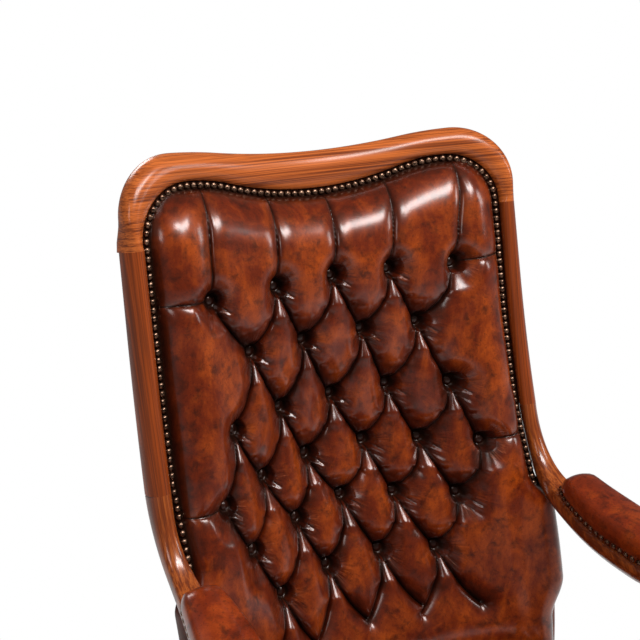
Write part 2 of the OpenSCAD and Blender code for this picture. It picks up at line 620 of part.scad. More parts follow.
// The webbing shares its rows and columns with the back of the stuffing
web_rows = [for (i = [3 : len(cushion_v) - 1]) cushion_v[i]];
web_half = function (v) back_half(v);
web_w_at = function (u, v) stuffing_back(u, v) - gap;
module back_webbing() color(jute) place() sheet(web_rows, web_half, 4, cover_t, web_w_at);

outside_foot = -752;
outside_rows = [for (i = [0 : 18]) mix(crest_dip + 8, outside_foot, i / 18)];
hollow_bulge = [[36, 0], [0, 0], [-111, 0], [-195, 8], [-284, 24], [-364, 36], [-435, 36],
    [-520, 36], [-617, 40], [-701, 46], [-752, 46]];
cover_slack = 1.6;
function post_back_w(v) = edge_w(joint_a[0], v) - hide_face
    - (post_t + post_grow - ledge_face) * 1.08;
outside_half = function (v) min(cushion_half(v) + 9, mix(side_in(-v) + 9, post_x + post_w / 2,
    ease((-v - stile_foot + 20) / 60)));
outside_w_at = function (u, v) let(flat = (back_face - cover_slack) * norm([1, u / bow_r]),
    side = mix(flat, min(flat, post_back_w(v)), ease((-v - stile_foot + 60) / 60)),
    e = pow(clamp01(1 - pow(u / (post_inner + 4), 2)), 1.5))
    side - lookup(v, hollow_bulge) * e;
module outside_back() color(hide) place()
    sheet(outside_rows, outside_half, 12, cover_t + 1, outside_w_at);

// Buttons: a domed cap on a short tapered neck, sitting in the tufts
button_rows = 6;
function button_us(k) = k % 2 == 0 ? [-2, -1, 0, 1, 2] * column_pitch
    : k == outer_row ? [for (i = [-outer_button, -1.5, -0.5, 0.5, 1.5, outer_button])
        i * column_pitch]
    : [for (i = [-1.5, -0.5, 0.5, 1.5]) i * column_pitch];
neck_h = 13;
// Each button leans in with the hollow it lies in
function hollow_slope(u, v) = u / bow_r + lookup(v, hollow_side) * u / 40000;
module button_at(u, v) translate(at_back(u, v, front_w(u, v, cushion_half(v)) + 3 * gap))
    rotate([90 - rake, 0, -atan(hollow_slope(u, v))]) rotate_extrude($fn = 32)
        polygon([[0, 0], [0.4, 0], [button_r, neck_h], [button_r, neck_h + button_t / 2],
            [button_r * 0.6, neck_h + button_t], [0, neck_h + button_t]]);
module back_buttons() color(dark_hide) place()
    for (k = [0 : button_rows - 1]) for (u = button_us(k)) button_at(u, row_v(k));

// Arm pad: rounded at both ends and bulging past the rail
pad_from = sweep_len + 20;
pad_profile = [[0.5, 0], [0.02, 0], [-0.05, 0.12], [-1, 0.35], [-1, 0.6], [-0.6, 0.82],
    [0.25, 1], [0.5, 1.03], [0.75, 1], [1.6, 0.82], [2, 0.6], [2, 0.35], [1.05, 0.12], [0.98, 0]];
function pad_ring(t) =
    let(s = pad_from + pad_len * t, end = min(t, 1 - t) * pad_len / 46,
        swell = sqrt(1 - pow(1 - clamp01(end), 2)), w = arm_width(s))
    [for (q = pad_profile)
        let(side = q[0] < 0 ? -q[0] : q[0] > 1 ? q[0] - 1 : 0,
            a = clamp01(q[0]) * w + (q[0] < 0 ? -1 : q[0] > 1 ? 1 : 0) * pad_bulge * side * swell)
        arm_point(s, mix(w / 2, a, 0.45 + 0.55 * swell), gap + 3 * (q[1] > 0 ? 1 : 0)
            + q[1] * (pad_h - 3) * swell)];
module arm_pad() color(hide) place() loft([for (t = [0, 0.015, 0.05, 0.11, 0.2, 0.35, 0.5,
    0.65, 0.8, 0.89, 0.95, 0.985, 1]) pad_ring(t)]);

// Castor: a socket cup with its pivot pin, a fork, an axle and a wheel
cup_r = spigot_r + gap + cup_wall;
pivot_head = 8;
module castor_cup(x, y) color(old_brass) place() translate([x, y, 0])
    rotate_extrude($fn = 64) polygon([[0, 2 * wheel_r + gap], [pivot_head, 2 * wheel_r + gap],
        [pivot_head, 2 * wheel_r + 3], [pivot_r, 2 * wheel_r + 3], [pivot_r, castor_top],
        [cup_r - 2, castor_top], [cup_r, castor_top + 2], [cup_r, cup_floor + 2],
        [cup_r + 1, cup_top - 5], [cup_r + 3, cup_top - 4], [cup_r + 3, cup_top - 1],
        [cup_r + 2, cup_top], [spigot_r + gap, cup_top], [spigot_r + gap, cup_floor],
        [0, cup_floor]]);
disc_r = 14;
disc_z = 2 * wheel_r + 3 + gap;
cheek_t = 3.5;
cheek_x = wheel_w / 2 + 0.6;
axle_boss = 6;
module castor_fork(x, y) color(old_brass) place() translate([x, y, 0]) difference() {
    union() {
        translate([0, 0, disc_z]) cylinder(r = disc_r, h = castor_top - gap - disc_z, $fn = 64);
        for (s = [-1, 1]) translate([s * (cheek_x + cheek_t / 2), 0, 0]) rotate([90, 0, 90])
            linear_extrude(cheek_t, center = true) {
                polygon([[-6, castor_top - gap - 0.5], [-5, disc_z], [castor_trail - axle_boss,
                    wheel_r], [castor_trail + axle_boss, wheel_r], [castor_trail - 1,
                    wheel_r + 14], [6, castor_top - gap - 0.5]]);
                translate([castor_trail, wheel_r]) circle(r = axle_boss, $fn = 48);
            }
    }
    translate([0, 0, disc_z - 1]) cylinder(r = pivot_r + run_fit, h = 20, $fn = 48);
    translate([0, castor_trail, wheel_r]) rotate([0, 90, 0])
        cylinder(r = axle_r + 0.02, h = 60, center = true, $fn = 48);
}
module castor_axle(x, y) color(steel) place() translate([x, y + castor_trail, wheel_r])
    rotate([0, 90, 0]) {
        cylinder(r = axle_r, h = 2 * (cheek_x + cheek_t) + 1, center = true, $fn = 48);
        for (s = [-1, 1]) translate([0, 0, s * (cheek_x + cheek_t + 0.8)])
            cylinder(r = axle_r + 1.2, h = 1.4, center = true, $fn = 48);
    }
module castor_wheel(x, y) color(old_brass) place() translate([x, y + castor_trail, wheel_r])
    rotate([0, 90, 0]) rotate_extrude($fn = 96) polygon([
        [axle_r + run_fit, -wheel_w / 2 - 0.3], [axle_r + 3, -wheel_w / 2 - 0.3],
        [axle_r + 4, -wheel_w / 2 + 1.5], [wheel_r - 4, -wheel_w / 2 + 1.5],
        [wheel_r - 3, -wheel_w / 2], [wheel_r - 1, -wheel_w / 2], [wheel_r, -wheel_w / 4],
        [wheel_r, wheel_w / 4], [wheel_r - 1, wheel_w / 2], [wheel_r - 3, wheel_w / 2],
        [wheel_r - 4, wheel_w / 2 - 1.5], [axle_r + 4, wheel_w / 2 - 1.5],
        [axle_r + 3, wheel_w / 2 + 0.3], [axle_r + run_fit, wheel_w / 2 + 0.3]]);

crest_rail();
left() stile();  // stile_left
stile();  // stile_right
left() arm();  // arm_left
arm();  // arm_right
left() arm_support();  // arm_support_left
arm_support();  // arm_support_right
left() back_post();  // back_post_left
back_post();  // back_post_right
left() front_leg();  // front_leg_left
front_leg();  // front_leg_right
left() side_rail();  // side_rail_left
side_rail();  // side_rail_right
left() arm_pad();  // arm_pad_left
arm_pad();  // arm_pad_right
left() side_wrap();  // side_wrap_left
side_wrap();  // side_wrap_right
front_rail();
rear_rail();
corner_blocks();
seat_webbing();
seat_springs();
seat_hessian();
seat_cushion();
back_webbing();
back_cushion();
back_buttons();
outside_back();
bottom_cloth();
castor_cup(-front_leg_x, -front_leg_y);  // castor_cup_fl
castor_fork(-front_leg_x, -front_leg_y);  // castor_fork_fl
castor_axle(-front_leg_x, -front_leg_y);  // castor_axle_fl
castor_wheel(-front_leg_x, -front_leg_y);  // castor_wheel_fl
castor_cup(front_leg_x, -front_leg_y);  // castor_cup_fr
castor_fork(front_leg_x, -front_leg_y);  // castor_fork_fr
castor_axle(front_leg_x, -front_leg_y);  // castor_axle_fr
castor_wheel(front_leg_x, -front_leg_y);  // castor_wheel_fr
castor_cup(-rear_castor_x, rear_castor_y);  // castor_cup_rl
castor_fork(-rear_castor_x, rear_castor_y);  // castor_fork_rl
castor_axle(-rear_castor_x, rear_castor_y);  // castor_axle_rl
castor_wheel(-rear_castor_x, rear_castor_y);  // castor_wheel_rl
castor_cup(rear_castor_x, rear_castor_y);  // castor_cup_rr
castor_fork(rear_castor_x, rear_castor_y);  // castor_fork_rr
castor_axle(rear_castor_x, rear_castor_y);  // castor_axle_rr
castor_wheel(rear_castor_x, rear_castor_y);  // castor_wheel_rr
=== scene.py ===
import math
import bmesh
import bpy
import numpy as np
from mathutils import Matrix, Vector


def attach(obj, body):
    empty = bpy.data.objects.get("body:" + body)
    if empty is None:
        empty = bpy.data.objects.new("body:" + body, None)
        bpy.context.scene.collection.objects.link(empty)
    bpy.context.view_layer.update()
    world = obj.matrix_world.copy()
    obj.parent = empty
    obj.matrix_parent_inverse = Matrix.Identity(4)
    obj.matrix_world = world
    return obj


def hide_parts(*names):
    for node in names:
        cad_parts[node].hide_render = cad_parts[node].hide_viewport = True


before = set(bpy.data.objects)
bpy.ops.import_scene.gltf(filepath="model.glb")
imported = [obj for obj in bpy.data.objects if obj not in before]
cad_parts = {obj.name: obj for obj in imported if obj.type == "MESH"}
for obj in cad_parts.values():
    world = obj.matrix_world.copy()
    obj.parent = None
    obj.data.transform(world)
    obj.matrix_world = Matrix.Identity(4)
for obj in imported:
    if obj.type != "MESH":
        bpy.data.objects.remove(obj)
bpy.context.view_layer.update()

# the camera comes first
view = {
    "place": (-0.6275, -0.8167, 1.3403),
    "right": (0.88200, -0.47124, 0.0),
    "up": (0.16085, 0.30106, 0.93994),
    "lens": 56.25,
    "sensor": 36.0,
    "nearest": 0.02,
}


def link(obj):
    bpy.context.scene.collection.objects.link(obj)
    return obj


def makeCamera():
    data = bpy.data.cameras.new("chairCamera")
    data.sensor_width = view["sensor"]
    data.lens = view["lens"]
    data.clip_start = view["nearest"]
    right = Vector(view["right"]).normalized()
    up = Vector(view["up"])
    up = (up - right * up.dot(right)).normalized()
    turn = Matrix((right, up, right.cross(up))).transposed().to_4x4()
    camera = link(bpy.data.objects.new("chairCamera", data))
    camera.matrix_world = Matrix.Translation(view["place"]) @ turn
    bpy.context.scene.camera = camera


makeCamera()
print("camera set")

# small helpers; lengths are in mm until a mesh is made
toMetres = 0.001
midY = 373.903  # from the middle of the crest's nail line to the middle of the chair
clear = 0.3     # leather and lapped wood stop this short of the wood beside them
mirrorX = np.array([-1.0, 1.0, 1.0])


def lerp(a, b, t):
    return a + (b - a) * t


def clamp01(t):
    return np.clip(t, 0.0, 1.0)


def ease(t):
    c = clamp01(t)
    return c * c * (3 - 2 * c)


def circ(t):
    c = clamp01(t)
    return np.sqrt(np.maximum(0, 1 - (1 - c) ** 2))


def crown(t, power=0.62):
    c = clamp01(t)
    return (1 - (1 - c) ** 2) ** power


def fadeOut(x, length, power=2):
    return np.exp(-(x / length) ** power)


def unit(a):
    a = np.asarray(a, float)
    return a / np.maximum(np.linalg.norm(a, axis=-1, keepdims=True), 1e-12)


def bezier(p, t):
    t = np.asarray(t, float)[..., None]
    p = [np.asarray(q, float) for q in p]
    return ((1 - t) ** 3 * p[0] + 3 * (1 - t) ** 2 * t * p[1]
            + 3 * (1 - t) * t * t * p[2] + t ** 3 * p[3])


def between(a, b, c, d, f):
    # a point between b and c, on the smooth line through a, b, c and d
    return 0.5 * (2 * b + (c - a) * f + (2 * a - 5 * b + 4 * c - d) * f * f
                  + (3 * b - 3 * c + d - a) * f ** 3)


def curveThrough(pts, count):
    # an open smooth line through a few points
    p = np.asarray(pts, float)
    p = np.vstack([2 * p[0] - p[1], p, 2 * p[-1] - p[-2]])
    out = []
    for x in np.linspace(0, len(p) - 3 - 1e-6, count):
        i = int(x)
        out.append(between(p[i], p[i + 1], p[i + 2], p[i + 3], x - i))
    return np.array(out)


def smoothRing(section, count):
    # a closed smooth line through a few points
    p = np.asarray(section, float)
    n = len(p)
    out = []
    for k in range(count):
        t = k / count * n
        i = int(math.floor(t)) % n
        out.append(between(p[(i - 1) % n], p[i], p[(i + 1) % n], p[(i + 2) % n], t - math.floor(t)))
    return np.array(out)


def lookup(x, pairs):
    xs = [q[0] for q in pairs]
    ys = [q[1] for q in pairs]
    if xs[0] > xs[-1]:
        xs, ys = xs[::-1], ys[::-1]
    return np.interp(x, xs, ys)


def smoothLookup(x, pairs, width=26.0):
    total = 0
    for k in (-1.0, -0.5, 0.0, 0.5, 1.0):
        total = total + lookup(np.asarray(x) + k * width, pairs)
    return total / 5


def lengthsAlong(pts):
    # the length of a line from its start to each of its points
    return np.concatenate([[0], np.cumsum(np.linalg.norm(np.diff(pts, axis=0), axis=1))])


def resample(pts, pitch):
    pts = np.asarray(pts, float)
    run = lengthsAlong(pts)
    n = max(1, int(round(run[-1] / pitch)))
    at = np.linspace(0, run[-1], n + 1)
    return np.stack([np.interp(at, run, pts[:, k]) for k in range(3)], axis=1)


def toWorld(p):
    p = np.asarray(p, float).reshape(-1, 3)
    return (p + np.array([0.0, midY, 0.0])) * toMetres


def pointsOf(obj):
    return np.array([q.co[:] for q in obj.data.vertices]) * 1000.0


def meshFrom(name, pts, faces, sharp=None, smooth=True):
    mesh = bpy.data.meshes.new(name)
    mesh.from_pydata([tuple(q) for q in toWorld(pts)], [], [tuple(int(i) for i in f) for f in faces])
    mesh.update()
    if smooth:
        mesh.polygons.foreach_set("use_smooth", [True] * len(mesh.polygons))
    if sharp:
        mesh.set_sharp_from_angle(angle=math.radians(sharp))
    return link(bpy.data.objects.new(name, mesh))


def addNumbers(obj, name, values):
    layer = obj.data.attributes.new(name, "FLOAT", "POINT")
    layer.data.foreach_set("value", np.asarray(values, np.float32).ravel())


def addVectors(mesh, name, values):
    layer = mesh.attributes.new(name, "FLOAT_VECTOR", "POINT")
    layer.data.foreach_set("vector", np.asarray(values).astype(np.float32).ravel())


def gridFaces(rows, cols, closed=False):
    i, j = np.meshgrid(np.arange(rows - 1), np.arange(cols if closed else cols - 1), indexing="ij")
    a = i * cols + j
    b = i * cols + (j + 1) % cols
    return [tuple(f) for f in np.stack([a, b, b + cols, a + cols], axis=-1).reshape(-1, 4)]


def facingOut(pts, faces):
    # turns the faces of a closed form outward
    total = 0.0
    for f in faces:
        a = pts[f[0]]
        for i in range(1, len(f) - 1):
            total += a @ np.cross(pts[f[i]], pts[f[i + 1]])
    return faces if total > 0 else [f[::-1] for f in faces]


def loftRings(name, rings, sharp=None, smooth=True):
    # a closed skin over a row of rings, with a cap at each end
    rings = np.asarray(rings, float)
    rows, cols = rings.shape[:2]
    faces = gridFaces(rows, cols, closed=True)
    faces.append(tuple(range(cols))[::-1])
    faces.append(tuple((rows - 1) * cols + k for k in range(cols)))
    pts = rings.reshape(-1, 3)
    return meshFrom(name, pts, facingOut(pts, faces), sharp, smooth)


def sidePiece(name, side, rings, sharp=None):
    # the right-hand piece, or its mirror image for the left
    if side > 0:
        return loftRings(name + "Right", rings, sharp)
    return loftRings(name + "Left", np.asarray(rings) * mirrorX, sharp)


def joinInto(main, others):
    bpy.ops.object.select_all(action="DESELECT")
    for obj in others + [main]:
        obj.select_set(True)
    bpy.context.view_layer.objects.active = main
    bpy.ops.object.join()
    return main


def finishPiece(obj, body, slot, material, *nodes):
    obj.data.materials.clear()
    obj.data.materials.append(material)
    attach(obj, body)
    if nodes:
        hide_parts(*nodes)
    return obj


class NodeTable:
    # adds nodes to a tree; an input is given a value or joined to a socket
    def __init__(self, tree):
        self.nodes = tree.nodes
        self.links = tree.links

    def put(self, node, key, value):
        if isinstance(value, bpy.types.NodeSocket):
            self.links.new(value, node.inputs[key])
        else:
            node.inputs[key].default_value = value

    def add(self, kind, inputs=None, **settings):
        node = self.nodes.new(kind)
        for key, value in settings.items():
            setattr(node, key, value)
        for key, value in (inputs or {}).items():
            self.put(node, key, value)
        return node

    def math(self, operation, *values):
        return self.add("ShaderNodeMath", dict(enumerate(values)), operation=operation).outputs[0]


class MaterialTable(NodeTable):
    def __init__(self, name):
        self.mat = bpy.data.materials.new(name)
        self.mat.use_nodes = True
        super().__init__(self.mat.node_tree)
        self.nodes.clear()
        self.out = self.add("ShaderNodeOutputMaterial")
        self.shader = self.add("ShaderNodeBsdfPrincipled")
        self.put(self.out, 0, self.shader.outputs[0])

    def place(self):
        return self.add("ShaderNodeTexCoord").outputs["Object"]

    def attribute(self, name, output="Fac"):
        return self.add("ShaderNodeAttribute", attribute_name=name).outputs[output]

    def stretched(self, source, scale):
        return self.add("ShaderNodeMapping", {"Vector": source, "Scale": scale}).outputs[0]

    def noise(self, source, scale, detail=4.0, rough=0.55, distort=0.0):
        inputs = {"Vector": source, "Scale": scale, "Detail": detail,
                  "Roughness": rough, "Distortion": distort}
        return self.add("ShaderNodeTexNoise", inputs).outputs["Fac"]

    def ramp(self, source, stops):
        node = self.add("ShaderNodeValToRGB", {0: source})
        marks = node.color_ramp.elements
        while len(marks) < len(stops):
            marks.new(0.5)
        for mark, (at, colour) in zip(marks, stops):
            mark.position = at
            mark.color = (*colour, 1)
        return node.outputs[0]

    def grey(self, source, low, high, a=0.0, b=1.0):
        inputs = {"Value": source, "From Min": low, "From Max": high, "To Min": a, "To Max": b}
        return self.add("ShaderNodeMapRange", inputs).outputs[0]

    def blend(self, share, a, b):
        a, b = [(*c, 1) if isinstance(c, tuple) else c for c in (a, b)]
        return self.add("ShaderNodeMix", {0: share, 6: a, 7: b}, data_type="RGBA").outputs[2]

    def weigh(self, *pairs):
        # the sum of a few sources, each times its own share
        total = None
        for source, share in pairs:
            part = self.math("MULTIPLY", source, share)
            total = part if total is None else self.math("ADD", total, part)
        return total

    def bumps(self, layers):
        # each layer is a height, its strength and its distance
        normal = None
        for height, strength, distance in layers:
            inputs = {"Strength": strength, "Distance": distance, "Height": height}
            node = self.add("ShaderNodeBump", inputs)
            if normal is not None:
                self.put(node, "Normal", normal)
            normal = node.outputs[0]
        self.finish(Normal=normal)

    def finish(self, **values):
        for key, value in values.items():
            self.put(self.shader, key.replace("_", " "), value)


hideLook = {
    "bright": (0.37, 0.058, 0.0042),
    "warm": (0.142, 0.0150, 0.0020),
    "deep": (0.024, 0.0036, 0.0013),
    "black": (0.0030, 0.0013, 0.0010),
    "patches": 17.0,              # scales of the colour's patches, streaks, specks and dots
    "streaks": 34.0,
    "specks": 60.0,
    "dots": 420.0,
    "speckShare": 0.72,
    "dotShare": 0.40,
    "ripple": 70.0,
    "pebble": 620.0,
    "grain": 0.12,
    "gather": 0.9,                # strength of the fine gathers round a button
    "gatherCount": 3.4,
    "gloss": 0.34,
    "shine": 0.30,                # how strongly the leather itself reflects
    "tint": (1.0, 0.30, 0.12),
    "polish": 1.0,
    "polishRoughness": 0.21,
}


def hideColour(t, place, patches, fine, shade, dark):
    look = hideLook
    # dark: near-black tones, painted shade for the buttons deep in their pits
    if dark:
        base = t.ramp(patches, [(0.35, look["black"]), (0.7, look["deep"])])
    else:
        # shade scales the tones; above 1 it is painted light, as on the pads
        base = t.ramp(patches, [(at, tuple(c * shade for c in look[tone]))
                                for at, tone in ((0.30, "deep"), (0.48, "warm"), (0.66, "bright"))])
    colour = t.blend(t.grey(fine, 0.50, 0.68, 0.0, look["speckShare"]), base, look["deep"])
    dots = t.noise(place, look["dots"], 3.0, 0.6, 0.4)
    return t.blend(t.grey(dots, 0.55, 0.68, 0.0, look["dotShare"] * shade), colour, look["deep"])


def buttonGathers(t):
    # fine gathers that run out from each button
    apart = t.add("ShaderNodeSeparateXYZ", {0: t.attribute("fromButton", "Vector")})
    angle = t.math("ARCTAN2", apart.outputs[1], apart.outputs[0])
    away = t.attribute("away")
    around = t.math("MULTIPLY", angle, hideLook["gatherCount"])
    outward = t.math("MULTIPLY", away, 0.35)
    polar = t.add("ShaderNodeCombineXYZ", {0: around, 1: outward, 2: apart.outputs[2]})
    rays = t.noise(polar.outputs[0], 1.6, 3.0, 0.6, 0.3)
    fade = t.math("MULTIPLY", t.grey(away, 0.5, 1.1), t.grey(away, 1.2, 2.7, 1.0, 0.0))
    return t.math("MULTIPLY", rays, fade)


def makeHide(name, shade=1.0, useCrease=True, dark=False):
    look = hideLook
    t = MaterialTable(name)
    place = t.place()
    big = t.noise(place, look["patches"], 6.0, 0.66, 0.8)
    fine = t.noise(place, look["specks"], 6.0, 0.66, 0.3)
    streak = t.noise(t.stretched(place, (1.0, 1.0, 0.4)), look["streaks"], 5.0, 0.66, 0.6)
    patches = t.weigh((big, 0.55), (streak, 0.45))
    if useCrease:
        # the pillows' tops are painted lighter and their hollows darker: painted light and shade
        patches = t.math("ADD", patches, t.grey(t.attribute("crown"), 0.3, 1.0, -0.13, 0.045))
    else:
        patches = t.math("ADD", t.math("MULTIPLY", patches, 0.62), 0.19)
    colour = hideColour(t, place, patches, fine, shade, dark)
    gloss = t.grey(fine, 0.3, 0.75, look["gloss"] - 0.05, look["gloss"] + 0.12)
    ripple = t.noise(place, look["ripple"], 3.0, 0.5, 0.8)
    pebble = t.add("ShaderNodeTexVoronoi", {"Vector": place, "Scale": look["pebble"]},
                   feature="DISTANCE_TO_EDGE")
    relief = [(ripple, 0.22, 0.0012), (pebble.outputs["Distance"], look["grain"], 0.0004)]
    t.finish(Coat_Weight=look["polish"], Coat_Roughness=look["polishRoughness"], IOR=1.5,
             Specular_IOR_Level=look["shine"], Specular_Tint=(*look["tint"], 1))
    if useCrease:
        # pleats and pits are painted dark, partly the leather's own dark dye in its folds and partly
        # painted shade, and have lost their polish
        foldDyeAndShade = t.attribute("creaseDyeAndShade")
        colour = t.blend(t.grey(foldDyeAndShade, 0.0, 0.8), colour, look["black"])
        gloss = t.math("MAXIMUM", gloss, t.grey(foldDyeAndShade, 0.55, 0.95, 0.3, 0.8))
        t.finish(Coat_Weight=t.grey(foldDyeAndShade, 0.55, 0.95, look["polish"], 0.0))
        relief.insert(0, (buttonGathers(t), look["gather"], 0.0035))
    t.finish(Base_Color=colour, Roughness=gloss)
    t.bumps(relief)
    return t.mat


woodLook = {
    "light": (0.63, 0.152, 0.030),
    "mid": (0.42, 0.090, 0.016),
    "dark": (0.15, 0.030, 0.009),
    "armLight": (0.43, 0.100, 0.017),
    "stileLight": (0.34, 0.060, 0.009),
    "stileMid": (0.22, 0.038, 0.006),
    "lines": 1.0,                 # how fine each layer is beside the grain's own scale
    "fine": 2.3,
    "pores": 4.0,
    "bands": 0.16,
    "shine": 0.15,
    "tint": (1.0, 0.72, 0.55),
}


def makeWood(name, grainScale, light="light", ownGrain=False, darkness=0.0, gloss=0.6, rough=0.24):
    # long dark lines, finer pores between them and broad soft bands
    look = woodLook
    t = MaterialTable(name)
    place = t.attribute("grain", "Vector") if ownGrain else t.place()

    def grain(layer, detail, roughness, distort):
        scale = tuple(s * look[layer] for s in grainScale)
        return t.noise(t.stretched(place, scale), 1.0, detail, roughness, distort)

    lines = grain("lines", 3.0, 0.6, 0.05)
    fine = grain("fine", 2.0, 0.6, 0.0)
    pores = grain("pores", 1.0, 0.5, 0.0)
    bands = grain("bands", 2.0, 0.5, 0.3)
    mid = "mid" if light == "light" else "stileMid"
    base = t.ramp(t.weigh((lines, 0.40), (fine, 0.34), (bands, 0.26)),
                  [(0.415 + darkness, look["dark"]), (0.47 + darkness, look[mid]),
                   (0.54 + darkness, look[light])])
    t.finish(Base_Color=t.blend(t.grey(pores, 0.52, 0.66, 0.0, 0.78), base, look["dark"]),
             Roughness=t.grey(fine, 0.3, 0.7, 0.28, 0.42),
             Coat_Weight=gloss, Coat_Roughness=rough, IOR=1.5,
             Specular_IOR_Level=look["shine"], Specular_Tint=(*look["tint"], 1))
    t.bumps([(pores, 0.02, 0.0003)])
    return t.mat


def makeMetal(name, light, dark, rough, scale):
    t = MaterialTable(name)
    place = t.place()
    patch = t.noise(place, scale, 4.0, 0.6, 0.2)
    t.finish(Base_Color=t.ramp(patch, [(0.38, dark), (0.62, light)]),
             Roughness=t.grey(patch, 0.3, 0.7, rough, rough + 0.16), Metallic=1.0)
    t.bumps([(t.noise(place, scale * 3, 3.0), 0.08, 0.0003)])
    return t.mat


def makeWoven(name, light, dark, scale):
    # threads along X cross the threads along Y or Z
    t = MaterialTable(name)
    place = t.place()
    threads = {}
    for axis in "XYZ":
        inputs = {"Vector": place, "Scale": scale, "Distortion": 0.6}
        wave = t.add("ShaderNodeTexWave", inputs, wave_type="BANDS", bands_direction=axis)
        threads[axis] = wave.outputs["Fac"]
    weave = t.math("MULTIPLY", threads["X"], t.math("MAXIMUM", threads["Z"], threads["Y"]))
    t.finish(Base_Color=t.blend(weave, dark, light), Roughness=0.85)
    t.bumps([(weave, 0.5, 0.0006)])
    return t.mat


hide = makeHide("hideBack")
hidePlain = makeHide("hidePlain", useCrease=False)
# the pads are a brighter copy of the hide, 1.45 times lighter: painted light where they are lit
hidePad = makeHide("hidePad", shade=1.45, useCrease=False)
# the buttons are painted near black: painted shade in their pits
hideButton = makeHide("hideButton", useCrease=False, dark=True)
crestWood = makeWood("crestWood", (1.7, 400.0, 40.0), ownGrain=True, darkness=-0.004)
stileWood = makeWood("stileWood", (300.0, 2.2, 34.0), light="stileLight", ownGrain=True)
armWood = makeWood("armWood", (300.0, 2.6, 60.0), light="armLight", ownGrain=True, darkness=-0.01,
                   gloss=1.0, rough=0.17)
supportWood = makeWood("supportWood", (260.0, 12.0, 40.0), light="stileLight")
legWood = makeWood("legWood", (240.0, 240.0, 3.0))
postWood = makeWood("postWood", (240.0, 240.0, 3.0), light="stileLight", gloss=0.12, rough=0.3)
railWood = makeWood("railWood", (2.6, 60.0, 300.0))
sideWood = makeWood("sideWood", (60.0, 2.6, 300.0))
beechWood = makeWood("beechWood", (12.0, 200.0, 200.0), gloss=0.05)
nailBrass = makeMetal("nailBrass", (0.33, 0.195, 0.13), (0.070, 0.038, 0.024), 0.24, 320.0)
castorBrass = makeMetal("castorBrass", (0.52, 0.36, 0.14), (0.23, 0.13, 0.05), 0.24, 60.0)
springSteel = makeMetal("springSteel", (0.45, 0.45, 0.46), (0.2, 0.19, 0.18), 0.3, 90.0)
juteCloth = makeWoven("juteCloth", (0.42, 0.31, 0.18), (0.16, 0.11, 0.06), 520.0)
blackCloth = makeWoven("blackCloth", (0.035, 0.032, 0.03), (0.008, 0.007, 0.007), 600.0)
print("materials made")

# the back frame's own surface: u across, v up along the lean, w towards the sitter
backFrame = {
    "nailZ": 1038.0,
    "rake": math.radians(10.8),
    "bowRadius": 656.0,
    "bendFrom": 150.0,
    "bendRadius": 2000.0,
    "stileIn": 268.0,
    "stileOut": 288.5,
    "stileFlare": 7.0,
    "outerFlare": 9.5,
    "crestWidth": 49.5,
    "shoulderWidth": 34.5,
    "nailGap": 6.0,
    "crestDip": 28.0,
    "crestHollow": 0.66,  # share of the crest's line that is hollow
    "crestSteps": 40,
    "cornerIn": 73.0,
    "cornerOut": 78.0,
    "crestJoint": 42.0,
    "stileFoot": 343.0,
    "edgeLead": 42.0,     # the leather's edge straightens this far above the arm joint
    "edgeRun": 30.0,
    "backFace": -28.0,
    "ledgeFace": -4.0,
    "ledgeWidth": 18.0,
    "belly": 23.0,        # the stuffing swells past the posts below the arms
    "bellyTop": 440.0,
    "bellyRise": 50.0,
    "bellyFoot": 660.0,
    "bellyFall": 60.0,
}
leatherTop = backFrame["crestDip"] + backFrame["nailGap"]
leanSin = math.sin(backFrame["rake"])
leanCos = math.cos(backFrame["rake"])
backForward = np.array([0.0, -leanCos, leanSin])


def bow(u):
    r = backFrame["bowRadius"]
    return r - np.sqrt(r * r - np.asarray(u, float) ** 2)


def bend(v):
    return np.maximum(0, -np.asarray(v, float) - backFrame["bendFrom"]) ** 2 / (2 * backFrame["bendRadius"])


def atBack(u, v, w):
    u, v, w = np.broadcast_arrays(np.asarray(u, float), np.asarray(v, float), np.asarray(w, float))
    d = w + bow(u) + bend(v)
    return np.stack([u, v * leanSin - d * leanCos, backFrame["nailZ"] + v * leanCos + d * leanSin], axis=-1)


def toBack(y, z):
    z = z - backFrame["nailZ"]
    return y * leanSin + z * leanCos, -y * leanCos + z * leanSin


def crestLine(base, dip, half, r):
    # a hollow middle, a rising shoulder, a round corner and a short way down the side
    n = backFrame["crestSteps"]
    peak = half - r
    turn = 2 * math.atan(dip / peak)
    total = peak / math.sin(turn)
    hollow = backFrame["crestHollow"] * total
    shoulder = total - hollow
    top = base + dip
    pts = [(hollow * math.sin(turn * i / n), base + hollow * (1 - math.cos(turn * i / n)))
           for i in range(n + 1)]
    for i in range(1, n + 1):
        a = turn * (1 - i / n)
        pts.append((peak - shoulder * math.sin(a), top - shoulder * (1 - math.cos(a))))
    for i in range(1, n + 3):
        a = math.pi / 2 * i / (n + 2)
        pts.append((peak + r * math.sin(a), top - r * (1 - math.cos(a))))
    pts.append((half, -backFrame["crestJoint"]))
    return np.array(pts)


def flareAt(drop):
    f = backFrame
    return clamp01((drop - f["crestJoint"]) / (f["stileFoot"] - f["crestJoint"]))


def sideIn(drop):
    return backFrame["stileIn"] + backFrame["stileFlare"] * flareAt(drop)


def sideOut(drop):
    return backFrame["stileOut"] + backFrame["outerFlare"] * flareAt(drop)


crestIn = crestLine(backFrame["nailGap"], backFrame["crestDip"],
                    backFrame["stileIn"], backFrame["cornerIn"])
crestOut = crestLine(backFrame["nailGap"] + backFrame["crestWidth"],
                     backFrame["crestDip"] + backFrame["shoulderWidth"] - backFrame["crestWidth"],
                     backFrame["stileOut"], backFrame["cornerOut"])

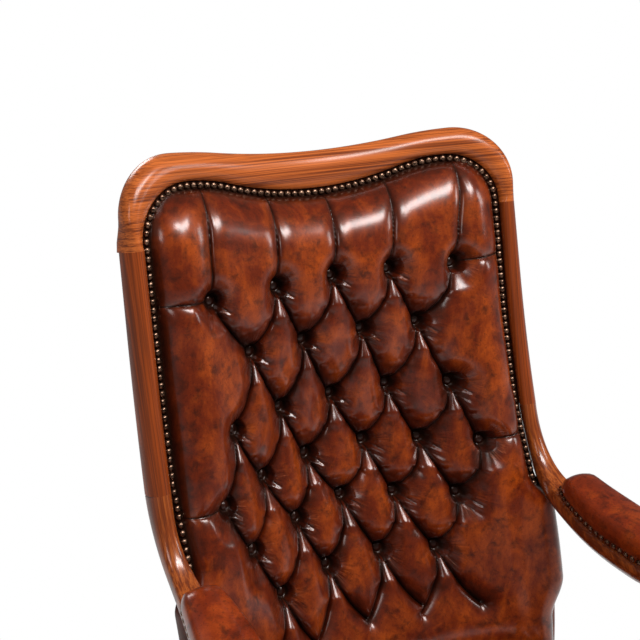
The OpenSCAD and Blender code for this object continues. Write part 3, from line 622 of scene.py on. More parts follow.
# the post below the stile's lower joint; its line is given as y and z
railTop = 345.0
railBottom = 285.0
postSeatY = -252.0
jointDrop = backFrame["stileFoot"]
jointA = atBack(sideIn(jointDrop), -jointDrop, 0.0)
jointB = atBack(sideOut(jointDrop), -jointDrop, 0.0)
postLine = [(jointA[1], jointA[2]), (jointA[1] - 20, jointA[2] - 66),
            (-232.0, backFrame["nailZ"] - 470), (postSeatY, railTop)]
postPoints = [tuple(q) for q in bezier(postLine, np.linspace(0, 1, 25))] + [(postSeatY, railBottom)]
postTable = []
for postY, postZ in postPoints:
    v, w = toBack(postY, postZ)
    postTable.append((v, w - float(bow(jointA[0])) - float(bend(v))))
hideFace = -1.0


def edgeW(u, v):
    f = backFrame
    low = np.where(v > -f["stileFoot"], 0.0, lookup(v, postTable))
    straight = clamp01((-v - f["stileFoot"] + f["edgeLead"]) / f["edgeRun"])
    return hideFace + low + (bow(jointA[0]) - bow(u)) * straight


def cushionHalf(v):
    f = backFrame
    v = np.asarray(v, float)
    corner = f["stileIn"] - f["cornerIn"] + np.sqrt(
        np.maximum(0, f["cornerIn"] ** 2 - (v + f["cornerIn"] - leatherTop) ** 2))
    belly = (f["belly"] * ease((-v - f["bellyTop"]) / f["bellyRise"])
             * ease((v + f["bellyFoot"]) / f["bellyFall"]))
    return np.where(v > leatherTop - f["cornerIn"], corner, sideIn(-v)) - clear + belly


def crestV(u):
    return np.interp(np.minimum(np.abs(u), backFrame["stileIn"] - backFrame["cornerIn"]),
                     crestIn[:, 0], crestIn[:, 1]) - clear


# the deep buttoned back
backLook = {
    "columns": 124,
    "levels": 160,
    "cornerLevels": 17,
    "foot": -700.0,
    "topBlend": 110.0,    # below the crest the net's levels turn straight
    "finer": (12.0, 4.6),  # the net is halved this near to a pleat, then again
    "band": 11.0,         # flat nailed border
    "bandNarrows": 10.0,  # it dies away below the side nails
    "edgeNarrows": 9.0,
    "nailsEnd": 455.0,    # the side nails stop here and the leather turns round the posts
    "nailsFade": 30.0,
    "topRoll": 66.0,
    "sideRoll": 46.0,
    "puff": 13.0,         # broad swelling between buttons
    "puffReach": 34.0,
    "pillow": 17.0,       # rise of each pillow over its pleats
    "lowReach": 31.0,     # how far a pillow takes to rise below a pleat
    "highReach": 30.0,    # and above one
    "uprightReach": 20.0,
    "sideReach": 26.0,
    "lip": 3.4,           # small rounded lip along each pleat
    "lipReach": 4.2,
    "pitFloor": 6.0,
    "pitWall": 10.0,
    "pitSlope": 30.0,     # the longer rise below each button
    "pitSlopeFrom": 3.0,
    "pitTall": 0.95,      # a pit's width for its height
    "pitSpread": 3.7,     # sets the noise of one button's gathers apart from the next one's
    "peakReach": 56.0,    # the flat patch under each button ends this far down
    "peakWidth": 0.40,    # and is this wide for its length
    "peakFade": 26.0,
    "peakStart": 6.0,
    "peakSide": 62.0,     # it is weaker this near to a side pleat
    "peakPower": 2.8,
    "underFrom": 0.55,    # how squarely a point has to lie below its button
    "underOver": 0.3,
    "aboveFade": 8.0,     # a pillow's reach above a pleat takes over within this distance
    "puffFrom": 4.0,
    "sideLip": 4.0,
    "sideDip": 5.0,       # the leather sinks towards its sides
    "sideDipFrom": 200.0,
    "sideDipOver": 40.0,
    "topRollPower": 0.6,
    "sideRollPower": 0.72,
    "cornerAngles": (6, 84),  # degrees round the top corners, for the net's levels
    "turnIn": 2.5,        # the leather's edge turns in behind itself
    "ringNet": 12.0,      # a ring of finer net round each button
    "ringWidth": 4.0,
    "buttonWidth": 15.0,
}
pleatLook = {
    "neighbour": 66.0,    # a pleat joins buttons of two rows that are this near across
    "uprightTop": 30.0,
    "uprightLean": 15.0,
    "uprightSpread": 0.03,
    "footAcross": 43.0,
    "footDown": 88.0,
    "sideRows": (0, 3),
    "sideEnd": 276.0,
    "sideRise": 3.0,
    "steps": 15,
    "farthest": 52.0,     # a pleat is looked for within this distance
    # how each kind leaves its button and meets its far end, in shares of its run or in mm
    "slantRight": 0.10,
    "slantLeft": 0.19,
    "slantDown": 0.38,
    "slantMeet": (0.52, 0.26),
    "uprightSway": 4.0,
    "uprightShares": (0.35, 0.40),
    "sideShare": 0.33,
    "sideLifts": (2.0, -3.0),
}
tuckLook = {
    "way": (0.74, -0.68),
    "start": (3.0, 5.0),
    "bend": 0.003,
    "bendAt": 8.0,
    "from": 5.0,
    "fadeIn": 6.0,
    "to": 22.0,
    "fadeAway": 14.0,
    "width": 2.7,
    "lines": [(-5.6, 1.6, 1.0), (5.2, 1.8, 0.8)],  # the fine lines' place, width and strength
    "rise": 3.0,
    "groove": 2.2,
    "limit": 180.0,       # the buttons beside the stiles have none
}

# each button's place on the back, as u across and v up from the crest's nail line
buttonRows = [
    [(-184.8, -118), (-87.4, -114), (0, -111), (87.4, -114), (184.8, -118)],
    [(-130.1, -196), (-46.3, -195), (46.3, -195), (130.1, -196)],
    [(-170.9, -292), (-85.4, -284.5), (0, -284), (85.4, -284.5), (170.9, -292)],
    [(-202.8, -383), (-126.3, -372), (-47, -363.5), (47, -363.5), (126.3, -372), (202.8, -383)],
    [(-165, -458), (-80.5, -446), (0, -435), (80.5, -446), (165, -458)],
    [(-126, -534), (-43, -524), (43, -524), (126, -534)],
]
allButtons = [b for row in buttonRows for b in row]
hollowMid = [[34, 6], [0, 14], [-111, 27], [-195, 9], [-284, -17], [-364, -32],
             [-435, -28], [-520, -24], [-617, -23], [-701, -31]]
hollowSide = [[34, -6], [0, -10], [-111, -11], [-195, 4], [-284, 37], [-364, 46],
              [-435, 44], [-520, 34], [-617, 22], [-701, 14]]
hollowLimit = 205.0
hollowPlace = 200.0   # where the side values hold


def buttonW(u, v):
    side = np.minimum(np.abs(u), hollowLimit) ** 2 / hollowPlace ** 2
    return smoothLookup(v, hollowMid) + smoothLookup(v, hollowSide) * side


def pleatLines():
    # from each button to its two neighbours below, plus upright, side and foot pleats
    look = pleatLook
    lines = []
    for row, below in zip(buttonRows[:-1], buttonRows[1:]):
        for a in row:
            lines += [(a, b, "slant") for b in below if abs(a[0] - b[0]) < look["neighbour"]]
    for a in buttonRows[0]:
        lean = look["uprightLean"] + look["uprightSpread"] * a[0]
        lines.append((a, (a[0] + lean, look["uprightTop"]), "upright"))
    for a in buttonRows[-1]:
        for side in (-1, 1):
            lines.append((a, (a[0] + side * look["footAcross"], a[1] - look["footDown"]), "slant"))
    for row in look["sideRows"]:
        for side, a in ((-1, buttonRows[row][0]), (1, buttonRows[row][-1])):
            lines.append((a, (side * look["sideEnd"], a[1] + look["sideRise"]), "side"))
    return lines


def pleatCurve(a, b, kind):
    # each kind of pleat leaves its button, and meets its far end, in its own way
    look = pleatLook
    a, b = np.array(a, float), np.array(b, float)
    x, y = b - a
    if kind == "slant":
        leave = [x * (look["slantRight"] if x > 0 else look["slantLeft"]), y * look["slantDown"]]
        meet = [x * look["slantMeet"][0], y * look["slantMeet"][1]]
    elif kind == "upright":
        leave = [-look["uprightSway"], y * look["uprightShares"][0]]
        meet = [look["uprightSway"], y * look["uprightShares"][1]]
    else:
        leave = [x * look["sideShare"], look["sideLifts"][0]]
        meet = [x * look["sideShare"], look["sideLifts"][1]]
    return bezier([a, a + leave, b - meet, b], np.linspace(0, 1, look["steps"]))


allPleats = {"slant": [], "upright": [], "side": []}
for pleatTop, pleatFoot, pleatKind in pleatLines():
    allPleats[pleatKind].append(pleatCurve(pleatTop, pleatFoot, pleatKind))


def nearestPleat(u, v, curves):
    # the distance to the nearest pleat, and whether the point lies above it
    best = np.full(u.shape, 1e9)
    above = np.zeros(u.shape)
    for line in curves:
        lo, hi = line.min(axis=0) - pleatLook["farthest"], line.max(axis=0) + pleatLook["farthest"]
        near = (u > lo[0]) & (u < hi[0]) & (v > lo[1]) & (v < hi[1])
        uu, vv = u[near], v[near]
        d = np.full(uu.shape, 1e9)
        up = np.zeros(uu.shape)
        for p, q in zip(line[:-1], line[1:]):
            e = q - p
            x, y = uu - p[0], vv - p[1]
            t = np.clip((x * e[0] + y * e[1]) / max(e @ e, 1e-9), 0, 1)
            far = np.hypot(x - t * e[0], y - t * e[1])
            up = np.where(far < d, np.where((e[0] * y - e[1] * x) * e[0] > 0, 1.0, 0.0), up)
            d = np.minimum(d, far)
        above[near] = np.where(d < best[near], up, above[near])
        best[near] = np.minimum(best[near], d)
    return best, above


def nearestButton(u, v):
    # the distance to the nearest button, and how squarely the point lies below it
    pit = np.full(u.shape, 1e9)
    under = np.zeros(u.shape)
    for bu, bv in allButtons:
        r = np.hypot(u - bu, (v - bv) * backLook["pitTall"])
        below = clamp01((bv - v) / np.maximum(r, 1e-6)) ** 2
        under = np.where(r < pit, below, under)
        pit = np.minimum(pit, r)
    return pit, under


def tuckFolds(u, v):
    # a short narrow fold to the lower right of each button, between two fine lines
    look = tuckLook
    fold, line = np.zeros(u.shape), np.zeros(u.shape)
    way = unit(np.array(look["way"]))
    for row in buttonRows[:-1]:
        for bu, bv in row:
            if bu < look["limit"]:
                x, y = u - bu + look["start"][0], v - bv + look["start"][1]
                along = x * way[0] + y * way[1]
                off = -x * way[1] + y * way[0] - look["bend"] * (along - look["bendAt"]) ** 2
                span = (ease((along - look["from"]) / look["fadeIn"])
                        * (1 - ease((along - look["to"]) / look["fadeAway"])))
                fold = fold + fadeOut(off, look["width"]) * span
                fine = [share * fadeOut(off + place, wide) for place, wide, share in look["lines"]]
                line = line + sum(fine) * span
    return fold, line


def pillowRise(slant, above, upright, side, pit, under):
    # how full each pillow is, and how far the leather rises over its pleats
    look = backLook
    reach = lerp(look["lowReach"], look["highReach"], above * ease(slant / look["aboveFade"]))
    # just under a button the leather lies flat from pleat to pleat
    peak = (ease((under - look["underFrom"]) / look["underOver"])
            * ease((look["peakReach"] - pit) / look["peakFade"])
            * ease((pit - look["peakStart"]) / look["peakStart"]) * ease(side / look["peakSide"]))
    wide = look["peakWidth"] * pit
    flat = wide * (1 - (1 - clamp01(slant / np.maximum(wide, 1e-6))) ** look["peakPower"])
    full = crown(lerp(slant, flat, peak) / reach) * (0.5 + 0.5 * crown(upright / look["uprightReach"]))
    puff = look["puff"] * lerp(ease((pit - look["puffFrom"]) / look["puffReach"]), 1.0, under)
    lips = (look["lip"] * circ(np.minimum(slant, upright) / look["lipReach"])
            * (0.5 + 0.5 * circ(side / look["sideLip"])))
    return full, puff + lips + look["pillow"] * full * (0.42 + 0.58 * crown(side / look["sideReach"]))


def backSurface(u, v, half):
    # the leather's height towards the sitter, how dark its folds are (dark dye and painted shade), and how
    # full each pillow is (it paints the tops lighter and the hollows darker)
    look = backLook
    slant, above = nearestPleat(u, v, allPleats["slant"])
    upright, _ = nearestPleat(u, v, allPleats["upright"])
    side, _ = nearestPleat(u, v, allPleats["side"])
    pit, under = nearestButton(u, v)
    full, rise = pillowRise(slant, above, upright, side, pit, under)
    fold, line = tuckFolds(u, v)
    rise = rise + tuckLook["rise"] * fold - tuckLook["groove"] * line
    # the pit round each button, with a longer rise below it
    rim = ease((pit - look["pitFloor"]) / look["pitWall"])
    far = clamp01((pit - look["pitFloor"] - look["pitSlopeFrom"]) / look["pitSlope"])
    hole = lerp(rim, 0.5 * rim + 0.5 * far, under)
    sunk = look["sideDip"] * ease((np.abs(u) - look["sideDipFrom"]) / look["sideDipOver"])
    rise = rise * hole - sunk
    # the flat nailed border, and the roll from it up to the pillows
    past = ease((-v - look["nailsEnd"]) / look["nailsFade"])
    drop = crestV(u) - v
    beside = half - np.abs(u)
    band = look["band"] - look["bandNarrows"] * past
    roll = (crown((drop - look["band"]) / look["topRoll"], look["topRollPower"])
            * crown((beside - band) / look["sideRoll"], look["sideRollPower"]))
    edge = np.minimum(beside, drop) + look["edgeNarrows"] * past
    foot = edgeW(u, v)
    w = foot + (buttonW(u, v) + rise - foot) * roll
    w = np.where(np.minimum(beside - band, drop - look["band"]) < 0, foot, w)
    # dark dye along the folds with painted shade: the lines, their wider shade, the pits and the border,
    # painted darker above a slant pleat and lighter just below a button where the leather faces up to the
    # light; widths in mm, strengths
    foldDyeAndShade = np.maximum.reduce([
        fadeOut(slant, 1.5, 1.6),
        fadeOut(upright, 1.5, 1.6) * 0.9,
        fadeOut(upright, 9.0, 1.2) * 0.44,
        fadeOut(slant, 9.0, 1.1) * lerp(0.28, 0.62, above),
        fadeOut(side, 1.6, 1.6) * 0.95,
        fadeOut(side, 7.0, 1.2) * 0.40,
        (1 - ease((pit - 8.0) / 6.0)) * (1 - 0.25 * under),
        0.62 * fadeOut(pit, 19.0) * (1 - 0.85 * under),
        0.62 * clamp01(line),
        (1 - ease((edge - look["band"] + 1) / 4.0)) * (1 - 0.8 * past),
        0.6 * (1 - ease((edge - look["band"]) / 14.0)) * (1 - 0.6 * past),
    ])
    return w, foldDyeAndShade, clamp01(full * hole * (0.4 + 0.6 * roll))


def fromButton(u, v):
    # which way the nearest button lies and its number, and how far off it is in button widths
    wide = backLook["buttonWidth"]
    best = np.full(u.shape, 1e9)
    way = np.zeros((len(u), 3), np.float32)
    for k, (bu, bv) in enumerate(allButtons):
        r = np.hypot(u - bu, v - bv)
        near = r < best
        number = np.full(near.sum(), k * backLook["pitSpread"])
        way[near] = np.stack([(u - bu)[near] / wide, (v - bv)[near] / wide, number], axis=1)
        best = np.minimum(best, r)
    return way, best / wide


def backLevels():
    look = backLook
    count = look["cornerLevels"]
    angles = np.radians(np.linspace(*look["cornerAngles"], count))
    corner = [leatherTop - backFrame["cornerIn"] * (1 - math.cos(a)) for a in angles]
    return np.concatenate([corner, np.linspace(corner[-1], look["foot"], look["levels"] - count + 1)[1:]])


def levelToV(u, level):
    lift = crestV(u) - (leatherTop - clear)
    return level + lift * (1 - ease((leatherTop - level) / backLook["topBlend"]))


def flatNet():
    # the leather laid flat, with a finer net along the pleats and round the buttons
    bm = bmesh.new()
    grid = []
    for level in backLevels():
        half = float(cushionHalf(level))
        grid.append([bm.verts.new((half * s, level, 0)) for s in np.linspace(-1, 1, backLook["columns"])])
    for a, b in zip(grid[:-1], grid[1:]):
        for k in range(len(a) - 1):
            bm.faces.new((a[k], b[k], b[k + 1], a[k + 1]))
    lines = [c for curves in allPleats.values() for c in curves]
    for reach in backLook["finer"]:
        edges = list(bm.edges)
        mids = np.array([((e.verts[0].co + e.verts[1].co) / 2)[:2] for e in edges])
        u, v = mids[:, 0], levelToV(mids[:, 0], mids[:, 1])
        near, _ = nearestPleat(u, v, lines)
        for bu, bv in allButtons:
            ring = np.abs(np.hypot(u - bu, v - bv) - backLook["ringNet"]) - backLook["ringWidth"]
            near = np.minimum(near, ring)
        chosen = [e for e, d in zip(edges, near) if d < reach]
        bmesh.ops.subdivide_edges(bm, edges=chosen, cuts=1, use_grid_fill=True)
    return bm


def makeBackHide():
    bm = flatNet()
    bm.verts.index_update()
    flat = np.array([q.co[:2] for q in bm.verts])
    faces = [tuple(q.index for q in f.verts) for f in bm.faces]
    border = [e for e in bm.edges if len(e.link_faces) == 1]
    u, level = flat[:, 0], flat[:, 1]
    v, half = levelToV(u, level), cushionHalf(level)
    w, foldDyeAndShade, full = backSurface(u, v, half)
    front = atBack(u, v, w)
    # the leather turns in behind its border
    rim = sorted({q.index for e in border for q in e.verts})
    place = {q: len(front) + k for k, q in enumerate(rim)}
    turn = backLook["turnIn"]
    tuck = atBack(u[rim], v[rim], np.minimum(w[rim] - turn, edgeW(u[rim], v[rim]) - turn))
    for e in border:
        loop = e.link_loops[0]
        a, b = loop.vert.index, loop.link_loop_next.vert.index
        faces.append((b, a, place[a], place[b]))
    bm.free()
    pts = np.vstack([front, tuck])
    first = faces[len(faces) // 3]
    if np.cross(pts[first[1]] - pts[first[0]], pts[first[2]] - pts[first[1]])[1] > 0:
        faces = [f[::-1] for f in faces]
    obj = meshFrom("backHide", pts, faces)
    way, away = fromButton(u, v)
    # the crease values are dark dye in the folds plus painted shade; the turned-in border is painted fully
    # dark
    addNumbers(obj, "creaseDyeAndShade", np.concatenate([foldDyeAndShade, np.ones(len(rim))]))
    # crown: how full each pillow is; the hide's colour uses it for painted light on the tops and painted
    # shade in the hollows
    addNumbers(obj, "crown", np.concatenate([full, np.zeros(len(rim))]))
    addNumbers(obj, "away", np.concatenate([away, np.full(len(rim), 9.0)]))
    addVectors(obj.data, "fromButton", np.vstack([way, np.zeros((len(rim), 3), np.float32)]))
    return obj


# show wood; a section point is the share of the width, mm across and mm up
thumbTop = [(0, 0, 1.5), (0.10, 0, 5.6), (0.30, 0, 9.2), (0.52, 0, 10.0), (0.74, 0, 7.6), (0.91, 0, 1.8)]
frameWood = {
    "thumb": thumbTop + [(1.0, 0, -7.0), (0.985, 0, -17), (0.86, 0, -25), (0.62, 0, -28)],
    "stileThumb": thumbTop + [(1.0, 0, -6.0), (0.965, 0, -14), (0.82, 0, -22.5), (0.5, 0, -28)],
    "aroundCount": 44,
    "crestPitch": 5.0,
    "stileRings": 46,
    "sharp": 48,
}


def ledge(width):
    # the wood runs in behind the leather's edge by this width
    back, face = backFrame["backFace"], backFrame["ledgeFace"]
    return [(0.1, 0, back), (0, -width, back), (0, -width, face), (0, 0, face)]


thumbLine = curveThrough(frameWood["thumb"], frameWood["aroundCount"])
stileThumb = curveThrough(frameWood["stileThumb"], frameWood["aroundCount"])
crestSection = np.vstack([ledge(backFrame["ledgeWidth"]), thumbLine])
stileSection = np.vstack([ledge(backFrame["ledgeWidth"]), stileThumb])
# where the arm starts, the ledge has died away
jointSection = np.vstack([[(0.1, 0, -28.0), (0, 0, -27.5), (0, 0, -15.0), (0, 0, -4.0)], stileThumb])


def frameRing(inner, outer, section):
    a, b = atBack(*inner, 0.0), atBack(*outer, 0.0)
    across = unit(b - a)
    width = np.linalg.norm(b - a)
    up = unit(backForward - (backForward @ across) * across)
    return a + across * (section[:, :1] * width + section[:, 1:2]) + up * section[:, 2:3]


def evenPairs(inner, outer, pitch):
    run = lengthsAlong((inner + outer) / 2)
    at = np.linspace(0, run[-1], int(run[-1] / pitch) + 1)
    return [np.stack([np.interp(at, run, line[:, k]) for k in range(2)], axis=1) for line in (inner, outer)]


def addGrain(obj, places):
    # the wood's own directions: across, along the lean, and through it
    addVectors(obj.data, "grain", np.asarray(places) * toMetres)
    return obj


def backGrain(obj):
    p = pointsOf(obj)
    v, w = toBack(p[:, 1], p[:, 2])
    return addGrain(obj, np.stack([p[:, 0], v, w - bow(p[:, 0]) - bend(v)], axis=1))


def makeCrest():
    inner, outer = evenPairs(crestIn, crestOut, frameWood["crestPitch"])
    flip = mirrorX[:2]
    rings = [frameRing(a * flip, b * flip, crestSection) for a, b in zip(inner[:0:-1], outer[:0:-1])]
    rings += [frameRing(a, b, crestSection) for a, b in zip(inner, outer)]
    return backGrain(loftRings("crestRail", rings, frameWood["sharp"]))


def makeStile(side):
    drops = np.linspace(backFrame["crestJoint"], backFrame["stileFoot"], frameWood["stileRings"])
    rings = [frameRing((float(sideIn(d)), -d), (float(sideOut(d)), -d), stileSection) for d in drops]
    return backGrain(sidePiece("stile", side, rings, frameWood["sharp"]))


# the arm sweeps out of the stile in one bend, then runs forward in a long shallow one
armLook = {
    "sweep": 132.0,        # radius of the bend
    "sag": 600.0,          # radius of the long run
    "sweepEnd": 73.0,      # degrees from upright
    "sagEnd": 98.0,
    "width": 56.0,
    "splay": 12.0,
    "faceBy": 1.15,        # its own section is reached here, as a share of the bend's length
    "widenFrom": 0.75,
    "widenOver": 1.25,
    "splayFrom": 1.4,
    "fuller": 7.0,         # the rail is this much fuller on its inner side
    "fullerFrom": 0.2,
    "fullerOver": 0.7,
    "fullerEnd": 90.0,     # mm before the tip
    "fullerFade": 60.0,
    "deeper": 0.12,
    "under": [(0.46, 0, -32), (0.38, 0, -32), (0.30, 0, -31.8), (0.22, 0, -31.4)],
    "top": [(0.14, 0, -30), (0.035, 0, -21), (0.0, 0, -12), (0.02, 0, -5), (0.10, 0, -1.2),
            (0.28, 0, 0), (0.5, 0, 0.4), (0.72, 0, 0), (0.90, 0, -1.2), (0.98, 0, -5),
            (1.0, 0, -14), (0.97, 0, -22), (0.87, 0, -30)],
    "smoothing": 8,        # passes that keep the light on the arm in one line
    "rings": 96,
    "grainSteps": 240,
    "sharp": 50,
    "scrollRadius": 29.0,
    "scrollWidth": 62.0,
    "scrollBack": 4.0,
    "scrollSteps": 72,
    "scrollPoints": 60,
    "scrollSharp": 40,
    "boss": [(3.0, 0.05), (2.4, 8.0), (0.6, 14.0)],  # how far it stands out, and its radius there
    "volute": [(0.47, 16.0), (0.44, 17.6), (0.455, 19.5), (0.48, 21.5), (0.49, 24.0), (0.47, 27.2),
               (0.43, 29.0)],                        # shares of the scroll's width, and the radius
}
startTurn = math.degrees(backFrame["rake"]) + math.degrees(
    math.atan((backFrame["stileFoot"] - backFrame["bendFrom"]) / backFrame["bendRadius"]))
sweepLen = armLook["sweep"] * math.radians(armLook["sweepEnd"] - startTurn)
sagLen = armLook["sag"] * math.radians(armLook["sagEnd"] - armLook["sweepEnd"])
armLen = sweepLen + sagLen
jointAcross = unit(jointB - jointA)
jointWidth = float(np.linalg.norm(jointB - jointA))


def armTurn(s):
    if s < sweepLen:
        return startTurn + math.degrees(s / armLook["sweep"])
    return armLook["sweepEnd"] + math.degrees((s - sweepLen) / armLook["sag"])


def arcStep(r, a, b):
    a, b = math.radians(a), math.radians(b)
    return np.array([r * (math.cos(b) - math.cos(a)), r * (math.sin(a) - math.sin(b))])


def armYZ(s):
    start = np.array([jointA[1], jointA[2]])
    if s < sweepLen:
        return start + arcStep(armLook["sweep"], startTurn, armTurn(s))
    return (start + arcStep(armLook["sweep"], startTurn, armLook["sweepEnd"])
            + arcStep(armLook["sag"], armLook["sweepEnd"], armTurn(s)))


def armWidthAt(s):
    widened = ease((s - sweepLen * armLook["widenFrom"]) / (sweepLen * armLook["widenOver"]))
    return lerp(jointWidth, armLook["width"], float(widened))


def armX(s):
    out = armLook["splay"] * float(ease((s - sweepLen * armLook["splayFrom"]) / sagLen))
    return jointA[0] - (armWidthAt(s) - jointWidth) / 2 + out


def armUp(s):
    a = math.radians(armTurn(s))
    return np.array([0.0, -math.cos(a), math.sin(a)])


def armFace(s):
    # 0 where the arm still has the stile's section, 1 where it has its own
    return float(ease(s / (sweepLen * armLook["faceBy"])))


def armAcross(s):
    tilt = float(jointAcross @ armUp(0.0))
    a = jointAcross - tilt * armUp(0.0) + tilt * armUp(s)
    return unit(lerp(a, np.array([1.0, 0, 0]), armFace(s)))


def armPoint(s, a, b):
    x, n, p = armAcross(s), armUp(s), armYZ(s)
    n = unit(n - (n @ x) * x)
    a, b = np.asarray(a, float)[..., None], np.asarray(b, float)[..., None]
    return np.array([armX(s), p[0], p[1]]) + x * a + n * b


def armOwnSection():
    top = curveThrough(armLook["top"], frameWood["aroundCount"])
    section = np.vstack([armLook["under"], top])
    for _ in range(armLook["smoothing"]):
        section[5:-1] = 0.25 * section[4:-2] + 0.5 * section[5:-1] + 0.25 * section[6:]
    return section


armSection = armOwnSection()
tipYZ = armYZ(armLen)
tipTurn = math.radians(armTurn(armLen))
scrollCentre = np.array([armX(armLen) + armLook["width"] / 2,
                         tipYZ[0] + armLook["scrollRadius"] * math.cos(tipTurn) - armLook["scrollBack"],
                         tipYZ[1] - armLook["scrollRadius"] * math.sin(tipTurn)])


def makeArm(side):
    look = armLook
    rings = []
    for s in np.linspace(0, armLen, look["rings"]):
        section = lerp(jointSection, armSection, armFace(s))
        # the rail is fuller on its inner side, between the joint and the scroll
        start = ease((s - look["fullerFrom"] * sweepLen) / (look["fullerOver"] * sweepLen))
        full = float(start * (1 - ease((s - armLen + look["fullerEnd"]) / look["fullerFade"])))
        inner = full * clamp01(1 - 2 * section[:, 0])
        rings.append(armPoint(s, section[:, 0] * armWidthAt(s) - look["fuller"] * inner,
                              section[:, 2] * (1 + look["deeper"] * inner)))
    rail = sidePiece("arm", side, rings, look["sharp"])
    # the grain follows the arm's curve
    along = np.linspace(0, armLen, look["grainSteps"])
    line = np.array([armYZ(s) for s in along])
    up = np.array([armUp(s)[1:] for s in along])
    p = pointsOf(rail)
    near = np.argmin(np.hypot(p[:, 1:2] - line[None, :, 0], p[:, 2:3] - line[None, :, 1]), axis=1)
    off = ((p[:, 1:] - line[near]) * up[near]).sum(axis=1)
    addGrain(rail, np.stack([np.abs(p[:, 0]), along[near], off], axis=1))
    scroll = makeScroll(side)
    p = pointsOf(scroll)
    addGrain(scroll, np.stack([np.abs(p[:, 0]), p[:, 1], p[:, 2]], axis=1))
    return joinInto(rail, [scroll])


def makeScroll(side):
    # a carved volute on each face of the rolled end
    wide = armLook["scrollWidth"]
    face = [(-wide / 2 - proud, r) for proud, r in armLook["boss"]]
    face += [(-wide * share, r) for share, r in armLook["volute"]]
    face += [(-w, r) for w, r in face[::-1]]
    line = curveThrough([(w, r, 0) for w, r in face], armLook["scrollPoints"])
    steps = armLook["scrollSteps"]
    rings = []
    for a in [2 * math.pi * k / steps for k in range(steps)]:
        ring = np.stack([line[:, 0], line[:, 1] * math.cos(a), line[:, 1] * math.sin(a)], axis=1)
        rings.append(ring + scrollCentre)
    rings = np.array(rings) * (1 if side > 0 else mirrorX)
    rows, cols = rings.shape[:2]
    i, j = np.meshgrid(np.arange(rows), np.arange(cols - 1), indexing="ij")
    a = i * cols + j
    b = ((i + 1) % rows) * cols + j
    faces = [tuple(q) for q in np.stack([a, b, b + 1, a + 1], axis=-1).reshape(-1, 4)]
    pts = rings.reshape(-1, 3)
    return meshFrom("scroll", pts, facingOut(pts, faces), armLook["scrollSharp"])


supportLook = {
    "foot": (276.0, -628.0),
    "width": [[34.0], [26.0], [26.0], [30.0]],
    "depth": 1.25,        # times the width
    "round": 0.55,        # 1 is an oval, less is squarer
    "uprightFrom": 0.85,  # the foot stands upright on the rail
    "uprightOver": 0.12,
    "rings": 70,
    "around": 40,
    "sharp": 60,
}
footX, footY = supportLook["foot"]
supportPath = [scrollCentre + np.array([0, 4, 8 - armLook["scrollRadius"]]),
               scrollCentre + np.array([6, 46, -96]),
               np.array([footX, footY - 10, lerp(railTop, scrollCentre[2], 0.38)]),
               np.array([footX, footY, railTop])]


def squared(a, power):
    return np.sign(a) * np.abs(a) ** power


def makeSupport(side):
    look = supportLook
    angles = np.linspace(0, 2 * math.pi, look["around"], endpoint=False)
    x, y = squared(np.cos(angles), look["round"]), squared(np.sin(angles), look["round"])
    rings = []
    for t in np.linspace(0, 1, look["rings"]):
        d = unit(bezier(supportPath, min(1, t + 0.01)) - bezier(supportPath, max(0, t - 0.01)))
        upright = float(ease((t - look["uprightFrom"]) / look["uprightOver"]))
        down = unit(lerp(d, np.array([0, 0, -1.0]), upright))
        through = unit(np.cross(down, [1.0, 0, 0]))
        across = unit(np.cross(through, down))
        w = float(bezier(look["width"], t)[0]) / 2
        h = w * look["depth"]
        rings.append(bezier(supportPath, t) + across * (w * x)[:, None] + through * (h * y)[:, None])
    return sidePiece("support", side, rings, look["sharp"])


# each post carries on below the seat as a rear leg
postLook = {
    "size": (34.0, 30.0),
    "grow": 8.0,          # deeper at the seat rail
    "growFrom": 0.5,      # shares of the post's line
    "uprightFrom": 0.6,
    "widen": 2.0,
    "behind": 4.0,        # room for the leather and its nails in front
    "castor": (252.0, -118.0),
    "foot": 27.0,
    "rings": 40,
    "cupTop": 112.0,
    "spigot": 12.7,
    "spigotEnd": 62.0,
    "sharp": 60,
}
postWide, postDeep = postLook["size"]
postX = jointA[0] - clear - postWide / 2
rearY = postSeatY + (postDeep + postLook["grow"]) / 2 + postLook["behind"]
rearX, rearFootY = postLook["castor"]
rearLine = [(rearY, railTop), (rearY - 6, railBottom - 55), (rearFootY - 30, 185.0),
            (rearFootY, postLook["cupTop"])]


def squareRing(x, y, z, w, t, tilt):
    q = []
    for cx, cy in ((1, 1), (-1, 1), (-1, -1), (1, -1)):
        corner = [(cx, 0.74 * cy), (0.97 * cx, 0.9 * cy), (0.9 * cx, 0.97 * cy), (0.74 * cx, cy)]
        q += corner if cx * cy > 0 else corner[::-1]
    q = np.array(q)
    c, s = math.cos(tilt), math.sin(tilt)
    return np.stack([x + q[:, 0] * w / 2, y + q[:, 1] * t / 2 * c, z - q[:, 1] * t / 2 * s], axis=1)


